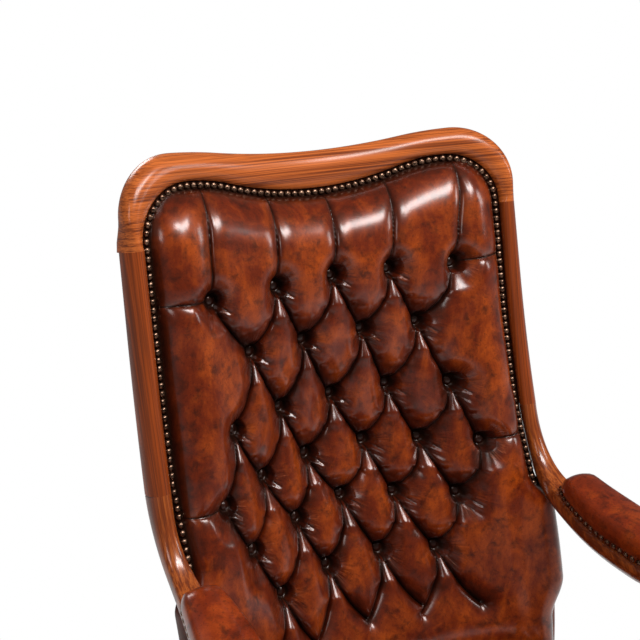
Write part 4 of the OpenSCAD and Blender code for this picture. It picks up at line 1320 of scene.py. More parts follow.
def makePost(side):
    look = postLook
    rings = []
    for t in np.linspace(0, 1, look["rings"]):
        p = bezier(postLine, t)
        d = bezier(postLine, t + 0.01) - bezier(postLine, t - 0.01)
        upright = float(ease((t - look["uprightFrom"]) / (1 - look["uprightFrom"])))
        lean = math.atan(d[0] / d[1]) * (1 - upright)
        grow = float(ease((t - look["growFrom"]) / (1 - look["growFrom"])))
        depth = postDeep + look["grow"] * grow
        back = depth / 2 + look["behind"]
        rings.append(squareRing(postX, p[0] + back * math.cos(lean), p[1] - back * math.sin(lean),
                                postWide + look["widen"] * grow, depth, lean))
    for t in np.linspace(0, 1, look["rings"] + 1)[1:]:
        p = bezier(rearLine, t)
        e = float(ease(t))
        wide = lerp(postWide + look["widen"], look["foot"], e)
        deep = lerp(postDeep + look["grow"], look["foot"], e)
        rings.append(squareRing(lerp(postX, rearX, e), p[0], p[1], wide, deep, 0.0))
    # a round spigot goes into the castor's cup; it has a point for each of a square ring's sixteen
    around = np.radians(45 + (np.arange(16) - 1.5) * 22.5)
    for z in (look["cupTop"], look["spigotEnd"]):
        rings.append(np.stack([rearX + look["spigot"] * np.cos(around),
                               rearFootY + look["spigot"] * np.sin(around), np.full(16, z)], axis=1))
    return sidePiece("post", side, rings, look["sharp"])


# nails and buttons: a node tree sets one small shape on each point
class SetterTree(NodeTable):
    def __init__(self, name, sizes):
        self.tree = bpy.data.node_groups.new(name, "GeometryNodeTree")
        super().__init__(self.tree)
        self.socket("Geometry", "Geometry")
        for key, value in sizes.items():
            self.socket(key, "Float").default_value = value
        self.socket("Finish", "Material")
        self.socket("Geometry", "Geometry", "OUTPUT")
        self.start = self.add("NodeGroupInput").outputs

    def socket(self, name, kind, way="INPUT"):
        return self.tree.interface.new_socket(name, in_out=way, socket_type="NodeSocket" + kind)

    def ball(self, segments, rings, radius):
        inputs = {"Segments": segments, "Rings": rings, "Radius": radius}
        return self.add("GeometryNodeMeshUVSphere", inputs).outputs["Mesh"]

    def size(self, wide, high):
        return self.add("ShaderNodeCombineXYZ", {0: wide, 1: wide, 2: high}).outputs[0]

    def scaled(self, vector, scale):
        return self.add("ShaderNodeVectorMath", {0: vector, "Scale": scale}, operation="SCALE").outputs[0]

    def setOn(self, shape, size):
        # turned to each point's own facing, made real, smoothed and painted
        facing = self.add("GeometryNodeInputNamedAttribute", {"Name": "facing"}, data_type="FLOAT_VECTOR")
        turn = self.add("FunctionNodeAlignRotationToVector", {"Vector": facing.outputs["Attribute"]},
                        axis="Z")
        put = self.add("GeometryNodeInstanceOnPoints", {
            "Points": self.start["Geometry"], "Instance": shape,
            "Rotation": turn.outputs["Rotation"], "Scale": size})
        real = self.add("GeometryNodeRealizeInstances", {"Geometry": put.outputs["Instances"]})
        smooth = self.add("GeometryNodeSetShadeSmooth", {"Geometry": real.outputs["Geometry"]})
        paint = self.add("GeometryNodeSetMaterial", {
            "Geometry": smooth.outputs["Geometry"], "Material": self.start["Finish"]})
        self.add("NodeGroupOutput", {"Geometry": paint.outputs["Geometry"]})
        return self.tree


nailLook = {
    "pitch": 10.5,
    "width": 9.3,
    "height": 3.4,
    "segments": 14,
    "rings": 8,
    "leastSize": 0.93,    # the heads differ a little in size
    "mostSize": 1.03,
    "seed": 7,
    "proud": 0.6,
    "sideFrom": 50.0,     # the side nails begin this far below the crest's nail line
    "postFrom": 0.03,     # and end on the post, as shares of its line
    "postTo": 0.47,
    "sideSteps": 40,
    "postSteps": 16,
    "inward": 0.9,        # how far a nail looks to the middle, as a share of the bow's own turn
    "forward": 0.98,
    "rise": 0.19,         # how far a nail looks up, on the stiles and on the posts
    "postRise": 0.45,
}


def nailSizes(width):
    # a smaller head is lower too
    return {"Head Width": width * toMetres,
            "Head Height": nailLook["height"] * toMetres * width / nailLook["width"]}


def makeNailTree():
    look = nailLook
    t = SetterTree("domeNails", nailSizes(look["width"]))
    size = t.size(t.start["Head Width"], t.math("MULTIPLY", t.start["Head Height"], 2.0))
    limits = {2: look["leastSize"], 3: look["mostSize"], "Seed": look["seed"]}
    spread = t.add("FunctionNodeRandomValue", limits, data_type="FLOAT")
    return t.setOn(t.ball(look["segments"], look["rings"], 0.5), t.scaled(size, spread.outputs[1]))


nailTree = makeNailTree()


def socketId(tree, name):
    for item in tree.interface.items_tree:
        if item.item_type == "SOCKET" and item.in_out == "INPUT" and item.name == name:
            return item.identifier
    return None


def setOnPoints(name, pts, facing, tree, inputs, material):
    mesh = bpy.data.meshes.new(name + "Points")
    mesh.from_pydata([tuple(q) for q in toWorld(pts)], [], [])
    addVectors(mesh, "facing", unit(facing))
    obj = link(bpy.data.objects.new(name, mesh))
    mod = obj.modifiers.new("set", "NODES")
    mod.node_group = tree
    for key, value in inputs.items():
        mod[socketId(tree, key)] = value
    mod[socketId(tree, "Finish")] = material
    bpy.context.view_layer.update()
    done = bpy.data.meshes.new_from_object(obj.evaluated_get(bpy.context.evaluated_depsgraph_get()))
    obj.modifiers.clear()
    obj.data = done
    done.name = name
    return obj


def setNails(name, pts, facing, width=nailLook["width"], material=nailBrass):
    return setOnPoints(name, pts, facing, nailTree, nailSizes(width), material)


def backNailPath():
    f = backFrame
    line = crestLine(0.0, f["crestDip"], f["stileIn"] - f["nailGap"], f["cornerIn"] - f["nailGap"])
    half = [atBack(u, v, 0.0) for u, v in line]
    for drop in np.linspace(nailLook["sideFrom"], f["stileFoot"], nailLook["sideSteps"]):
        half.append(atBack(float(sideIn(drop)) - f["nailGap"], -drop, 0.0))
    # below the joint the nails follow the front of the post
    for t in np.linspace(nailLook["postFrom"], nailLook["postTo"], nailLook["postSteps"]):
        p = bezier(postLine, t)
        half.append(np.array([jointA[0] - f["nailGap"], p[0], p[1]]))
    return np.array(half)


def makeBackNails():
    half = resample(backNailPath(), nailLook["pitch"])
    pts = np.vstack([half[:0:-1] * mirrorX, half])
    tangent = unit(np.gradient(pts, axis=0))
    outward = np.stack([pts[:, 0] / backFrame["bowRadius"] * -nailLook["inward"],
                        np.full(len(pts), -nailLook["forward"]), np.full(len(pts), nailLook["rise"])],
                       axis=1)
    outward[pts[:, 2] < backFrame["nailZ"] - backFrame["stileFoot"], 2] = nailLook["postRise"]
    facing = unit(outward - (outward * tangent).sum(axis=1)[:, None] * tangent)
    print("back nails", len(pts))
    return setNails("backNails", pts + facing * nailLook["proud"], facing)


# leather buttons: a low dome, with the leather gathered round its rim
buttonLook = {
    "radius": 7.6,
    "height": 4.2,
    "sink": -1.5,
    "segments": 28,
    "rings": 16,
    "gathers": 11.0,
    "gatherDepth": 0.018,
    "slopeStep": 4,       # mm to each side, to find which way a button faces
}


def buttonSizes():
    return {"Radius": buttonLook["radius"] * toMetres, "Height": buttonLook["height"] * toMetres}


def makeButtonTree():
    look = buttonLook
    t = SetterTree("leatherButtons", buttonSizes())
    place = t.add("GeometryNodeInputPosition").outputs[0]
    split = t.add("ShaderNodeSeparateXYZ", {0: place}).outputs
    angle = t.math("ARCTAN2", split["Y"], split["X"])
    wave = t.math("SINE", t.math("MULTIPLY", angle, look["gathers"]))
    pulled = t.scaled(place, t.math("MULTIPLY_ADD", wave, look["gatherDepth"], 1.0))
    ball = t.ball(look["segments"], look["rings"], 1.0)
    shape = t.add("GeometryNodeSetPosition", {"Geometry": ball, "Position": pulled})
    return t.setOn(shape.outputs["Geometry"], t.size(t.start["Radius"], t.start["Height"]))


def makeButtons():
    step = buttonLook["slopeStep"]

    def onLeather(u, v, sink=0.0):
        return atBack(u, v, float(buttonW(u, v)) + sink)

    pts = [onLeather(u, v, buttonLook["sink"]) for u, v in allButtons]
    facing = [unit(np.cross(onLeather(u + step, v) - onLeather(u - step, v),
                            onLeather(u, v + step) - onLeather(u, v - step))) for u, v in allButtons]
    return setOnPoints("backButtons", np.array(pts), np.array(facing), makeButtonTree(), buttonSizes(),
                       hideButton)


# the seat
seatLook = {
    "inset": 6.0,
    "backY": -257.0,
    "rearBow": 50.0,
    "frontBow": 26.0,
    "frontLeg": (274.0, 728.0, 44.0),  # place across and forward, and width
    "rearSquare": 0.3,    # 1 is an oval outline, less is squarer
    "lowSquare": 0.24,
    "topSquare": 0.42,
    "rise": 88.0,
    "above": 1.9,         # the leather starts this far above the rails
    "around": 420,
    "frontBowShare": 0.8,
    "rearPower": 2.5,
    "squareTop": 0.75,    # share of the height where the upper outline is reached
    "supportRoom": 19.0,
    "supportBehind": 4.0,
    "supportWide": 60.0,
    "supportFade": 15.0,
    "gather": 1.5,        # small gathers at the front corners
    "gatherPlace": (262.0, -716.0),
    "gatherReach": (46.0, 50.0),
    "gatherHeight": 0.22,
    "gatherCount": 96,
    "gatherOver": 290.0,
    "ripple": 0.6,        # slack ripples round the edge
    "rippleWaves": (31, 7, 2.0),
    "rippleHeight": 0.60,
    "rippleReach": 0.10,
    "rows": [(-3, 0.0), (-0.5, 0.03), (1.5, 0.10), (4.2, 0.22), (5.5, 0.34), (4.4, 0.46), (0.5, 0.56),
             (-6.5, 0.65), (-16, 0.72), (-30, 0.78), (-52, 0.84), (-82, 0.895), (-120, 0.945)],
    "rowCount": 60,
    "crownRows": [(0.80, 0.965), (0.58, 0.984), (0.36, 0.995), (0.18, 0.999), (0.05, 1.0)],
}
legX, legY, legWide = seatLook["frontLeg"]
frontBow = seatLook["frontBow"]
frontFace = legY + legWide / 2
sideRear = np.array([postX + postWide / 2 + 1, postSeatY + postLook["behind"] - clear])
sideFront = np.array([legX + legWide / 2, -legY + legWide / 2])


def seatEdge(a, out, square):
    hx = sideFront[0] - seatLook["inset"] + out
    power = np.where(np.sin(a) > 0, seatLook["rearSquare"], square)
    x, y = squared(np.cos(a), power), squared(np.sin(a), power)
    hy = (seatLook["backY"] + frontFace + frontBow) / 2 + out
    midSeat = (seatLook["backY"] - frontFace - frontBow) / 2
    taper = 1 - sideRear[0] / sideFront[0]
    px = x * hx * (1 - taper * (1 + y) / 2)
    rear = seatLook["rearBow"] * y * np.maximum(0, 1 - x * x) ** seatLook["rearPower"]
    py = midSeat + y * hy + np.where(y < 0, frontBow * x * x * seatLook["frontBowShare"], rear)
    return px, py


def supportDent(x, y):
    # the seat is cut back round each arm support
    room = seatLook["supportRoom"]
    near = ease((np.abs(y - footY - seatLook["supportBehind"]) - room) / seatLook["supportFade"])
    return np.sign(x) * np.minimum(np.abs(x), footX - room + seatLook["supportWide"] * near)


def makeSeat():
    look = seatLook
    line = curveThrough([(a, b, 0) for a, b in look["rows"]], look["rowCount"])
    angles = np.linspace(0, -2 * math.pi, look["around"], endpoint=False)
    base = railTop + look["above"]
    high = look["rise"] - look["above"]
    gatherX, gatherY = look["gatherPlace"]
    reachX, reachY = look["gatherReach"]
    quick, slow, sway = look["rippleWaves"]
    rings = []
    for out, up, _ in line:
        square = lerp(look["lowSquare"], look["topSquare"], float(ease(up / look["squareTop"])))
        x, y = seatEdge(angles, out, square)
        corner = fadeOut(np.abs(x) - gatherX, reachX) * fadeOut(y - gatherY, reachY)
        gather = (look["gather"] * corner * np.sin(angles * look["gatherCount"])
                  * fadeOut(up - look["gatherHeight"], look["gatherHeight"]))
        ripple = (look["ripple"] * np.sin(angles * quick + np.sin(angles * slow) * sway)
                  * fadeOut(up - look["rippleHeight"], look["rippleReach"]))
        ring = np.stack([x * (1 + gather / look["gatherOver"]), y - gather, base + up * high + ripple],
                        axis=1)
        ring[:, 0] = supportDent(ring[:, 0], ring[:, 1])
        rings.append(ring)
    x, y = seatEdge(angles, line[-1][0], look["topSquare"])
    middle = float(y.mean())
    for k, up in look["crownRows"]:
        height = np.full(len(x), base + up * high)
        rings.append(np.stack([x * k, middle + (y - middle) * k, height], axis=1))
    return loftRings("seatHide", rings)


# arm pads; a section point is a share of the arm's width, beyond it of the bulge, and a share of the height
padLook = {
    "from": 13.0,
    "length": 247.0,
    "height": 40.0,
    "bulge": 6.0,
    "fuller": 5.0,        # fuller on the inner side
    "endRound": 29.0,
    "section": [(0.5, 0), (0.2, 0), (0.02, 0), (-0.02, 0.02), (-0.25, 0.10), (-0.75, 0.24), (-1.0, 0.42),
                (-0.95, 0.60), (-0.6, 0.80), (0.02, 0.93), (0.25, 1.0), (0.5, 1.03), (0.75, 1.0),
                (0.98, 0.93), (1.6, 0.80), (1.95, 0.60), (2.0, 0.42), (1.75, 0.24), (1.25, 0.10),
                (1.02, 0.02), (0.98, 0), (0.8, 0)],
    "around": 72,
    "foot": 0.3,          # the pad stands this far above the arm
    "welt": 3.0,
    "nailPitch": 10.8,
    "nailWidth": 8.8,
    "nailRound": 22.0,
    "nailsIn": -7.5,      # how far the nails stand out beyond the inner and the outer side
    "nailsOut": 2.5,
    "nailHeight": 3.4,
    "nailSteps": 60,
    "nailEdges": (0.03, 0.97),  # shares of the arm's width
    "nailLift": 0.15,
    "ends": [0, 0.002, 0.006, 0.012, 0.02, 0.032, 0.048, 0.07, 0.10],
    "between": (0.13, 0.87, 34),
}


def padPlace(t, endRound):
    # the place along the arm, its width there, and how far the pad has swelled from its end
    s = sweepLen + padLook["from"] + padLook["length"] * t
    end = min(1.0, max(0.0, min(t, 1 - t) * padLook["length"] / endRound))
    return s, armWidthAt(s), math.sqrt(max(0.0, 1 - (1 - end) ** 2))


def padRing(t):
    look = padLook
    s, wide, swell = padPlace(t, look["endRound"])
    a, b = smoothRing(look["section"], look["around"]).T
    within = np.clip(a, 0, 1)
    x = within * wide + look["bulge"] * (a - within) * swell
    x = lerp(wide / 2, x - look["fuller"] * swell * (1 - within), 0.45 + 0.55 * swell)
    z = look["foot"] + look["welt"] * clamp01(b / 0.02) + b * (look["height"] - look["welt"]) * swell
    return armPoint(s, x, z)


def makePad(side):
    # the rings stand closer towards both ends
    ends = np.array(padLook["ends"])
    places = np.concatenate([ends, np.linspace(*padLook["between"]), 1 - ends[::-1]])
    return sidePiece("pad", side, [padRing(t) for t in places])


def padNailPath():
    # round the pad's foot, just above the rail
    look = padLook
    there = [k / (look["nailSteps"] - 1) for k in range(look["nailSteps"])]
    inner, outer = look["nailEdges"]
    line = []
    for edge, out, places in ((inner, look["nailsIn"], there), (outer, look["nailsOut"], there[::-1])):
        for t in places:
            s, wide, swell = padPlace(t, look["nailRound"])
            x = lerp(wide / 2, edge * wide, 0.30 + 0.70 * swell) + out * swell
            line.append(armPoint(s, x, look["nailHeight"]))
    return np.array(line + line[:1])


def makePadNails(side):
    pts = resample(padNailPath(), padLook["nailPitch"])[:-1]
    # a nail faces away from the nearest point inside the pad
    inside = np.array([armPoint(s, armWidthAt(s) / 2, 10.0) for s in np.linspace(sweepLen, armLen, 60)])
    nearest = [inside[np.argmin(np.linalg.norm(inside - p, axis=1))] for p in pts]
    facing = unit(pts - np.array(nearest)) * np.array([1, 1, 0.4])
    facing = facing + np.array([0, 0, padLook["nailLift"]])
    flip = 1 if side > 0 else mirrorX
    name = "padNailsRight" if side > 0 else "padNailsLeft"
    return setNails(name, pts * flip, facing * flip, padLook["nailWidth"])


# leather round the outside of each post
wrapLook = {
    "top": 0.52,          # shares of the post's line
    "foot": 0.985,
    "swellFrom": 0.45,
    "swellOver": 0.15,
    "roundFrom": 0.50,
    "roundShare": 0.45,
    "rings": 40,
    "around": 40,
    "gap": 1.3,
    "thin": 3.0,
    "thicker": 10.0,
    "section": [(0, 0.04), (0, 0.5), (0, 0.96), (0.45, 0.99), (0.82, 0.86), (1, 0.62), (1, 0.38),
                (0.82, 0.14), (0.45, 0.01)],
}


def makeWrap(side):
    look = wrapLook
    a, b = smoothRing(look["section"], look["around"])[:, :2].T
    rings = []
    for t in np.linspace(look["top"], look["foot"], look["rings"]):
        p = bezier(postLine, t)
        end = math.sin(math.pi * clamp01((t - look["roundFrom"]) / (1 - look["roundFrom"]))) ** 0.35
        swell = float(ease((t - look["swellFrom"]) / look["swellOver"]))
        wide = (look["thin"] + look["thicker"] * swell) * (1 - look["roundShare"] * (1 - end))
        grow = float(ease((t - postLook["growFrom"]) / (1 - postLook["growFrom"])))
        deep = postDeep + postLook["behind"] + postLook["grow"] * grow
        rings.append(np.stack([jointA[0] + look["gap"] + np.maximum(a, 0) * wide,
                               p[0] + postLook["behind"] + b * deep, np.full(len(a), p[1])], axis=1))
    return sidePiece("sideHide", side, rings)


# the outside of the back
outsideLook = {
    "top": 8.0,           # above the crest's dip
    "foot": -752.0,
    "rows": 150,
    "columns": 110,
    "overlap": 9.0,
    "joinAbove": 20.0,    # above the arm joint it begins to leave the stiles for the posts
    "joinRun": 60.0,
    "behindWood": 1.6,
    "thickness": 0.0024,
    "slack": 0.5,
    "slackWaves": (0.05, 0.011, 0.021),
    "belowWood": 1.08,    # how far it lies behind the posts, as a share of their depth
    "hollowSmooth": 40,
    "hollowPower": 1.5,
    "nailsInside": 8.0,
    "nailsFrom": 6,       # the side nails start at this row
    "topNails": 8,        # and the top ones at this column
    "nailWay": (640.0, 0.98, -0.19),
    "hollow": [[36, 0], [0, 0], [-111, 0], [-195, 8], [-284, 24], [-364, 36], [-435, 36],
               [-520, 36], [-617, 40], [-701, 46], [-752, 46]],
}
postGap = 1.3             # between the post and the cloths beside it


def outsideHalf(v):
    over = outsideLook["overlap"]
    mix = ease((-v - backFrame["stileFoot"] + outsideLook["joinAbove"]) / outsideLook["joinRun"])
    return np.minimum(cushionHalf(v) + over, lerp(sideIn(-v) + over, postX + postWide / 2, mix))


def outsideW(u, v):
    slope = np.sqrt(1 + (u / backFrame["bowRadius"]) ** 2)
    flat = (backFrame["backFace"] - outsideLook["behindWood"]) * slope
    look = outsideLook
    deep = (postDeep + postLook["grow"] + postLook["behind"]) * look["belowWood"]
    low = edgeW(jointA[0], v) - hideFace - deep
    run = look["joinRun"]
    side = lerp(flat, np.minimum(flat, low), ease((-v - backFrame["stileFoot"] + run) / run))
    inner = postX - postWide / 2 - postGap + 4
    across = clamp01(1 - (u / inner) ** 2) ** look["hollowPower"]
    return side - smoothLookup(v, look["hollow"], look["hollowSmooth"]) * across


def makeOutsideBack():
    look = outsideLook
    levels = np.linspace(backFrame["crestDip"] + look["top"], look["foot"], look["rows"])
    u = outsideHalf(levels)[:, None] * np.linspace(-1, 1, look["columns"])[None, :]
    level = np.broadcast_to(levels[:, None], u.shape)
    v = levelToV(u, level)
    across, down, along = look["slackWaves"]
    slack = look["slack"] * np.sin(u * across + v * down) * np.sin(v * along)
    pts = atBack(u, v, outsideW(u, level) + slack).reshape(-1, 3)
    obj = meshFrom("outsideHide", pts, gridFaces(*u.shape))
    solid = obj.modifiers.new("thickness", "SOLIDIFY")
    solid.thickness = look["thickness"]
    solid.offset = -1

    def nailAt(row, column, inward=0.0, down=0.0):
        w = float(outsideW(u[row, column], level[row, column]))
        return atBack(u[row, column] + inward, v[row, column] - down, w)

    within, edge = look["nailsInside"], look["topNails"]
    top = [nailAt(0, k, 0.0, look["overlap"]) for k in range(edge, look["columns"] - edge)]
    left = [nailAt(i, 0, within) for i in range(look["nailsFrom"], look["rows"])]
    right = [nailAt(i, -1, -within) for i in range(look["nailsFrom"], look["rows"])]
    pts = resample(np.array(left[::-1] + top + right), nailLook["pitch"])
    bowed, back, down = look["nailWay"]
    facing = np.stack([pts[:, 0] / bowed, np.full(len(pts), back), np.full(len(pts), down)], axis=1)
    return obj, setNails("outsideNails", pts + unit(facing) * nailLook["proud"], facing)


# cloths, straps and springs under the seat
underSeat = {
    "inset": 9.0,
    "rearRise": 75.0,     # the rear rail's bow
    "clothDrop": 4.3,     # below the rails' undersides
    "tackDrop": 4.4,
    "hessianLift": 0.9,   # above their tops
    "sag": 4.0,
    "cutFrom": 0.868,     # the bottom cloth is cut round the legs between these shares of its half width
    "cutTo": 0.872,
    "legGap": 2.0,
    "postGap": 3.0,
    "columns": 73,
    "rows": 76,
    "fitPasses": 6,
    "rimShare": 5,        # the cloth reaches its full sag in a fifth of its width
    "wrinkle": 0.35,
    "wrinkleWaves": (0.19, 0.17),
    "hessianRows": 26,
    "hessianAround": 240,
    "hessianIn": -5.0,
    "hessianSag": 0.5,
    "hessianMiddle": 0.04,
    "strapSteps": 90,
    "springPower": 1.4,
    "wireSides": 8,
    "tackPitch": 34.0,
    "tackIn": (0.975, 0.978),
    "tack": 6.5,
    "strapWidth": 50.0,
    "strapThick": 1.6,
    "strapDrop": 1.9,
    "strapSide": 22.0,    # its ends, from the side rails' outer faces
    "strapFront": 12.0,   # and from the front rail's and the rear rail's
    "strapRear": 30.0,
    "strapFlat": 215.0,   # past the last crossing it lies flat
    "strapLift": 0.95,    # how far a strap rises or falls where it crosses another
    "across": [-330.0, -412.0, -494.0, -576.0, -658.0],
    "along": [-176.0, -88.0, 0.0, 88.0, 176.0],
    "springRadius": 34.0,
    "springWaist": 25.0,
    "springTurns": 5.5,
    "springSteps": 150,
    "springGap": 2.4,     # between its wire's middle and the rails' undersides
    "springTop": 3.6,     # and their tops
    "wire": 1.8,
}


def arcRadius(half, rise):
    return (half * half + rise * rise) / (2 * rise)


frontHalf = legX - legWide / 2
frontR = arcRadius(frontHalf, frontBow)
rearHalf = postX - postWide / 2 - postGap
rearR = arcRadius(rearHalf, underSeat["rearRise"])


def arcFrom(x, radius, half):
    return np.sqrt((radius - underSeat["inset"]) ** 2 - np.minimum(x * x, half ** 2))


def clothFront(x):
    edge = frontR - frontFace - frontBow - arcFrom(x, frontR, frontHalf)
    return np.where(np.abs(x) < frontHalf - 1, edge, -frontFace + legWide + underSeat["legGap"])


def clothRear(x):
    edge = rearY + underSeat["rearRise"] - rearR + arcFrom(x, rearR, rearHalf)
    return np.where(np.abs(x) < rearHalf - 4, edge, sideRear[1] - underSeat["postGap"])


def makeBottomCloth(z):
    # black cloth stretched under the rails and cut round the front legs
    look = underSeat
    cuts = [-look["cutTo"], -look["cutFrom"], look["cutFrom"], look["cutTo"]]
    s = np.unique(np.concatenate([np.linspace(-1, 1, look["columns"]), cuts]))
    t = np.linspace(0, 1, look["rows"])
    x = np.broadcast_to(s[None, :] * (sideFront[0] - look["inset"]), (len(t), len(s))).copy()
    # the sides close in towards the back, so the cloth is fitted in a few passes
    for _ in range(look["fitPasses"]):
        y = lerp(clothFront(x), clothRear(x), t[:, None])
        back = clamp01((y - sideFront[1]) / (sideRear[1] - look["postGap"] - sideFront[1]))
        x = s[None, :] * (lerp(sideFront[0], sideRear[0], back) - look["inset"])
    near = look["rimShare"]
    rim = np.minimum(np.minimum(t, 1 - t)[:, None] * near, (1 - np.abs(s))[None, :] * near)
    waveX, waveY = look["wrinkleWaves"]
    wrinkle = look["wrinkle"] * np.sin(x * waveX) * (1 - ease(rim * 1.4)) * np.sin(y * waveY)
    fall = look["sag"] * ease(rim) + wrinkle
    pts = np.stack([x, y, z - fall], axis=-1).reshape(-1, 3)
    obj = meshFrom("bottomCloth", pts, gridFaces(len(t), len(s)))
    area = np.abs(np.diff(x, axis=1)[:-1] * np.diff(y, axis=0)[:, :-1]).sum() * 1e-6
    edge = np.concatenate([np.stack([x[0], y[0]], 1), np.stack([x[:, -1], y[:, -1]], 1),
                           np.stack([x[-1, ::-1], y[-1, ::-1]], 1), np.stack([x[::-1, 0], y[::-1, 0]], 1)])
    return obj, float(area), edge


def makeHessian(z):
    # coarse cloth over the springs, just inside the seat's own outline
    look = underSeat
    rows, around = look["hessianRows"], look["hessianAround"]
    angles = np.linspace(0, 2 * math.pi, around, endpoint=False)
    x, y = seatEdge(angles, look["hessianIn"], seatLook["lowSquare"])
    x = supportDent(x, y)
    middle = float(y.mean())
    rings = []
    for k in np.linspace(1, look["hessianMiddle"], rows):
        height = np.full(around, z) - look["hessianSag"] * ease((1 - k) * look["rimShare"])
        rings.append(np.stack([x * k, middle + (y - middle) * k, height], axis=1))
    faces = gridFaces(rows, around, closed=True) + [tuple((rows - 1) * around + k for k in range(around))]
    area = abs(np.sum(x * np.roll(y, -1) - np.roll(x, -1) * y)) / 2 * 1e-6
    return meshFrom("seatHessian", np.vstack(rings), faces), float(area)


def makeTacks(edge, z):
    pts = np.concatenate([edge, np.full((len(edge), 1), z)], axis=1)
    middle = np.array([0.0, pts[:, 1].mean(), z])
    pts = resample(middle + (pts - middle) * np.array([*underSeat["tackIn"], 1.0]), underSeat["tackPitch"])
    facing = np.tile(np.array([0.0, 0.0, -1.0]), (len(pts), 1))
    return setNails("clothTacks", pts, facing, underSeat["tack"], springSteel)


def makeStrap(points, across):
    # a flat strap along a line of points
    wide, thick = underSeat["strapWidth"], underSeat["strapThick"]
    corners = [(-1, -1), (-1, 1), (1, 1), (1, -1)]
    rings = [[p + across * (a * wide / 2) + np.array([0, 0, b * thick / 2]) for a, b in corners]
             for p in points]
    return loftRings("seatStraps", rings, 30, smooth=False)


def makeStraps():
    look = underSeat
    steps = look["strapSteps"]
    mid = railBottom - look["strapDrop"]
    side = sideFront[0] - look["strapSide"]
    pitchX = look["along"][1] - look["along"][0]
    pitchY = look["across"][0] - look["across"][1]
    straps = []
    for k, y in enumerate(look["across"]):
        x = np.linspace(-side, side, steps)
        over = np.cos((x + pitchX * k) * math.pi / pitchX) * look["strapLift"]
        over = over * (np.abs(x) < look["strapFlat"])
        line = np.stack([x, np.full(steps, y), mid + over], axis=1)
        straps.append(makeStrap(line, np.array([0, 1.0, 0])))
    for k, x in enumerate(look["along"]):
        y = np.linspace(look["strapFront"] - frontFace, rearY + look["strapRear"], steps)
        over = -np.cos((y - look["across"][0] + pitchY * k) * math.pi / pitchY) * look["strapLift"]
        line = np.stack([np.full(steps, x), y, mid + over], axis=1)
        straps.append(makeStrap(line, np.array([1.0, 0, 0])))
    return joinInto(straps[0], straps[1:])


def makeSpring(x, y):
    # a coil with a narrow waist
    look = underSeat
    t = np.linspace(0, 1, look["springSteps"])
    turn = t * look["springTurns"] * 2 * math.pi
    waist = np.abs(2 * t - 1) ** look["springPower"]
    r = lerp(look["springWaist"], look["springRadius"], waist) - look["wire"]
    height = lerp(railBottom + look["springGap"], railTop - look["springTop"], t)
    line = np.stack([x + r * np.cos(turn), y + r * np.sin(turn), height], axis=1)
    outward = np.stack([np.cos(turn), np.sin(turn), np.zeros(len(t))], axis=1)
    other = np.cross(unit(np.gradient(line, axis=0)), outward)
    rings = [[p + (o * math.cos(a) + q * math.sin(a)) * look["wire"]
              for a in np.linspace(0, 2 * math.pi, look["wireSides"], endpoint=False)]
             for p, o, q in zip(line, outward, other)]
    return loftRings("seatSprings", rings)


def makeSprings():
    springs = [makeSpring(x, y) for x in underSeat["along"][1:4] for y in underSeat["across"][1:4]]
    return joinInto(springs[0], springs[1:])


# every piece gets its body, its finish and the solid it stands for
bothSides = ((1, "right"), (-1, "left"))
finishPiece(makeCrest(), "frame", "rosewood", crestWood, "crest_rail")
for side, word in bothSides:
    finishPiece(makeStile(side), "frame", "rosewood", stileWood, "stile_" + word)
    finishPiece(makeArm(side), "frame", "arm_wood", armWood, "arm_" + word)
    finishPiece(makeSupport(side), "frame", "rosewood", supportWood, "arm_support_" + word)
    finishPiece(makePost(side), "frame", "rosewood", postWood, "back_post_" + word)
print("show wood made")

backHide = finishPiece(makeBackHide(), "frame", "hide", hide, "back_cushion")
finishPiece(makeButtons(), "frame", "dark_hide", hideButton, "back_buttons")
finishPiece(makeBackNails(), "frame", "old_brass", nailBrass)
print("back covered", len(backHide.data.polygons))

seatHide = finishPiece(makeSeat(), "frame", "hide", hidePlain, "seat_cushion")
for side, word in bothSides:
    pad = finishPiece(makePad(side), "frame", "hide", hidePad, "arm_pad_" + word)
    finishPiece(makePadNails(side), "frame", "old_brass", nailBrass)
    wrap = finishPiece(makeWrap(side), "frame", "hide", hidePlain, "side_wrap_" + word)
outsideHide, outsideNails = makeOutsideBack()
finishPiece(outsideHide, "frame", "hide", hidePlain, "outside_back")
finishPiece(outsideNails, "frame", "old_brass", nailBrass)
print("seat, pads and outside covered")

bottom, bottomArea, bottomEdge = makeBottomCloth(railBottom - underSeat["clothDrop"])
finishPiece(bottom, "frame", "black_cloth", blackCloth, "bottom_cloth")
tacks = makeTacks(bottomEdge, railBottom - underSeat["tackDrop"])
finishPiece(tacks, "frame", "steel", springSteel)
hessian, hessianArea = makeHessian(railTop + underSeat["hessianLift"])
finishPiece(hessian, "frame", "jute", juteCloth, "seat_hessian")
finishPiece(makeStraps(), "frame", "jute", juteCloth, "seat_webbing")
finishPiece(makeSprings(), "frame", "steel", springSteel, "seat_springs")
print("under the seat made", round(bottomArea, 4), round(hessianArea, 4))

# the solids that are shown as they are
keptFinish = {
    "front_leg": legWood,
    "front_rail": railWood,
    "rear_rail": railWood,
    "side_rail": sideWood,
    "corner_blocks": beechWood,
    "back_webbing": juteCloth,
    "castor": castorBrass,
}
for name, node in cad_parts.items():
    for start, material in keptFinish.items():
        if name.startswith(start):
            for slot in node.material_slots:
                slot.material = material
            if not node.material_slots:
                node.data.materials.append(material)
print("kept solids finished")

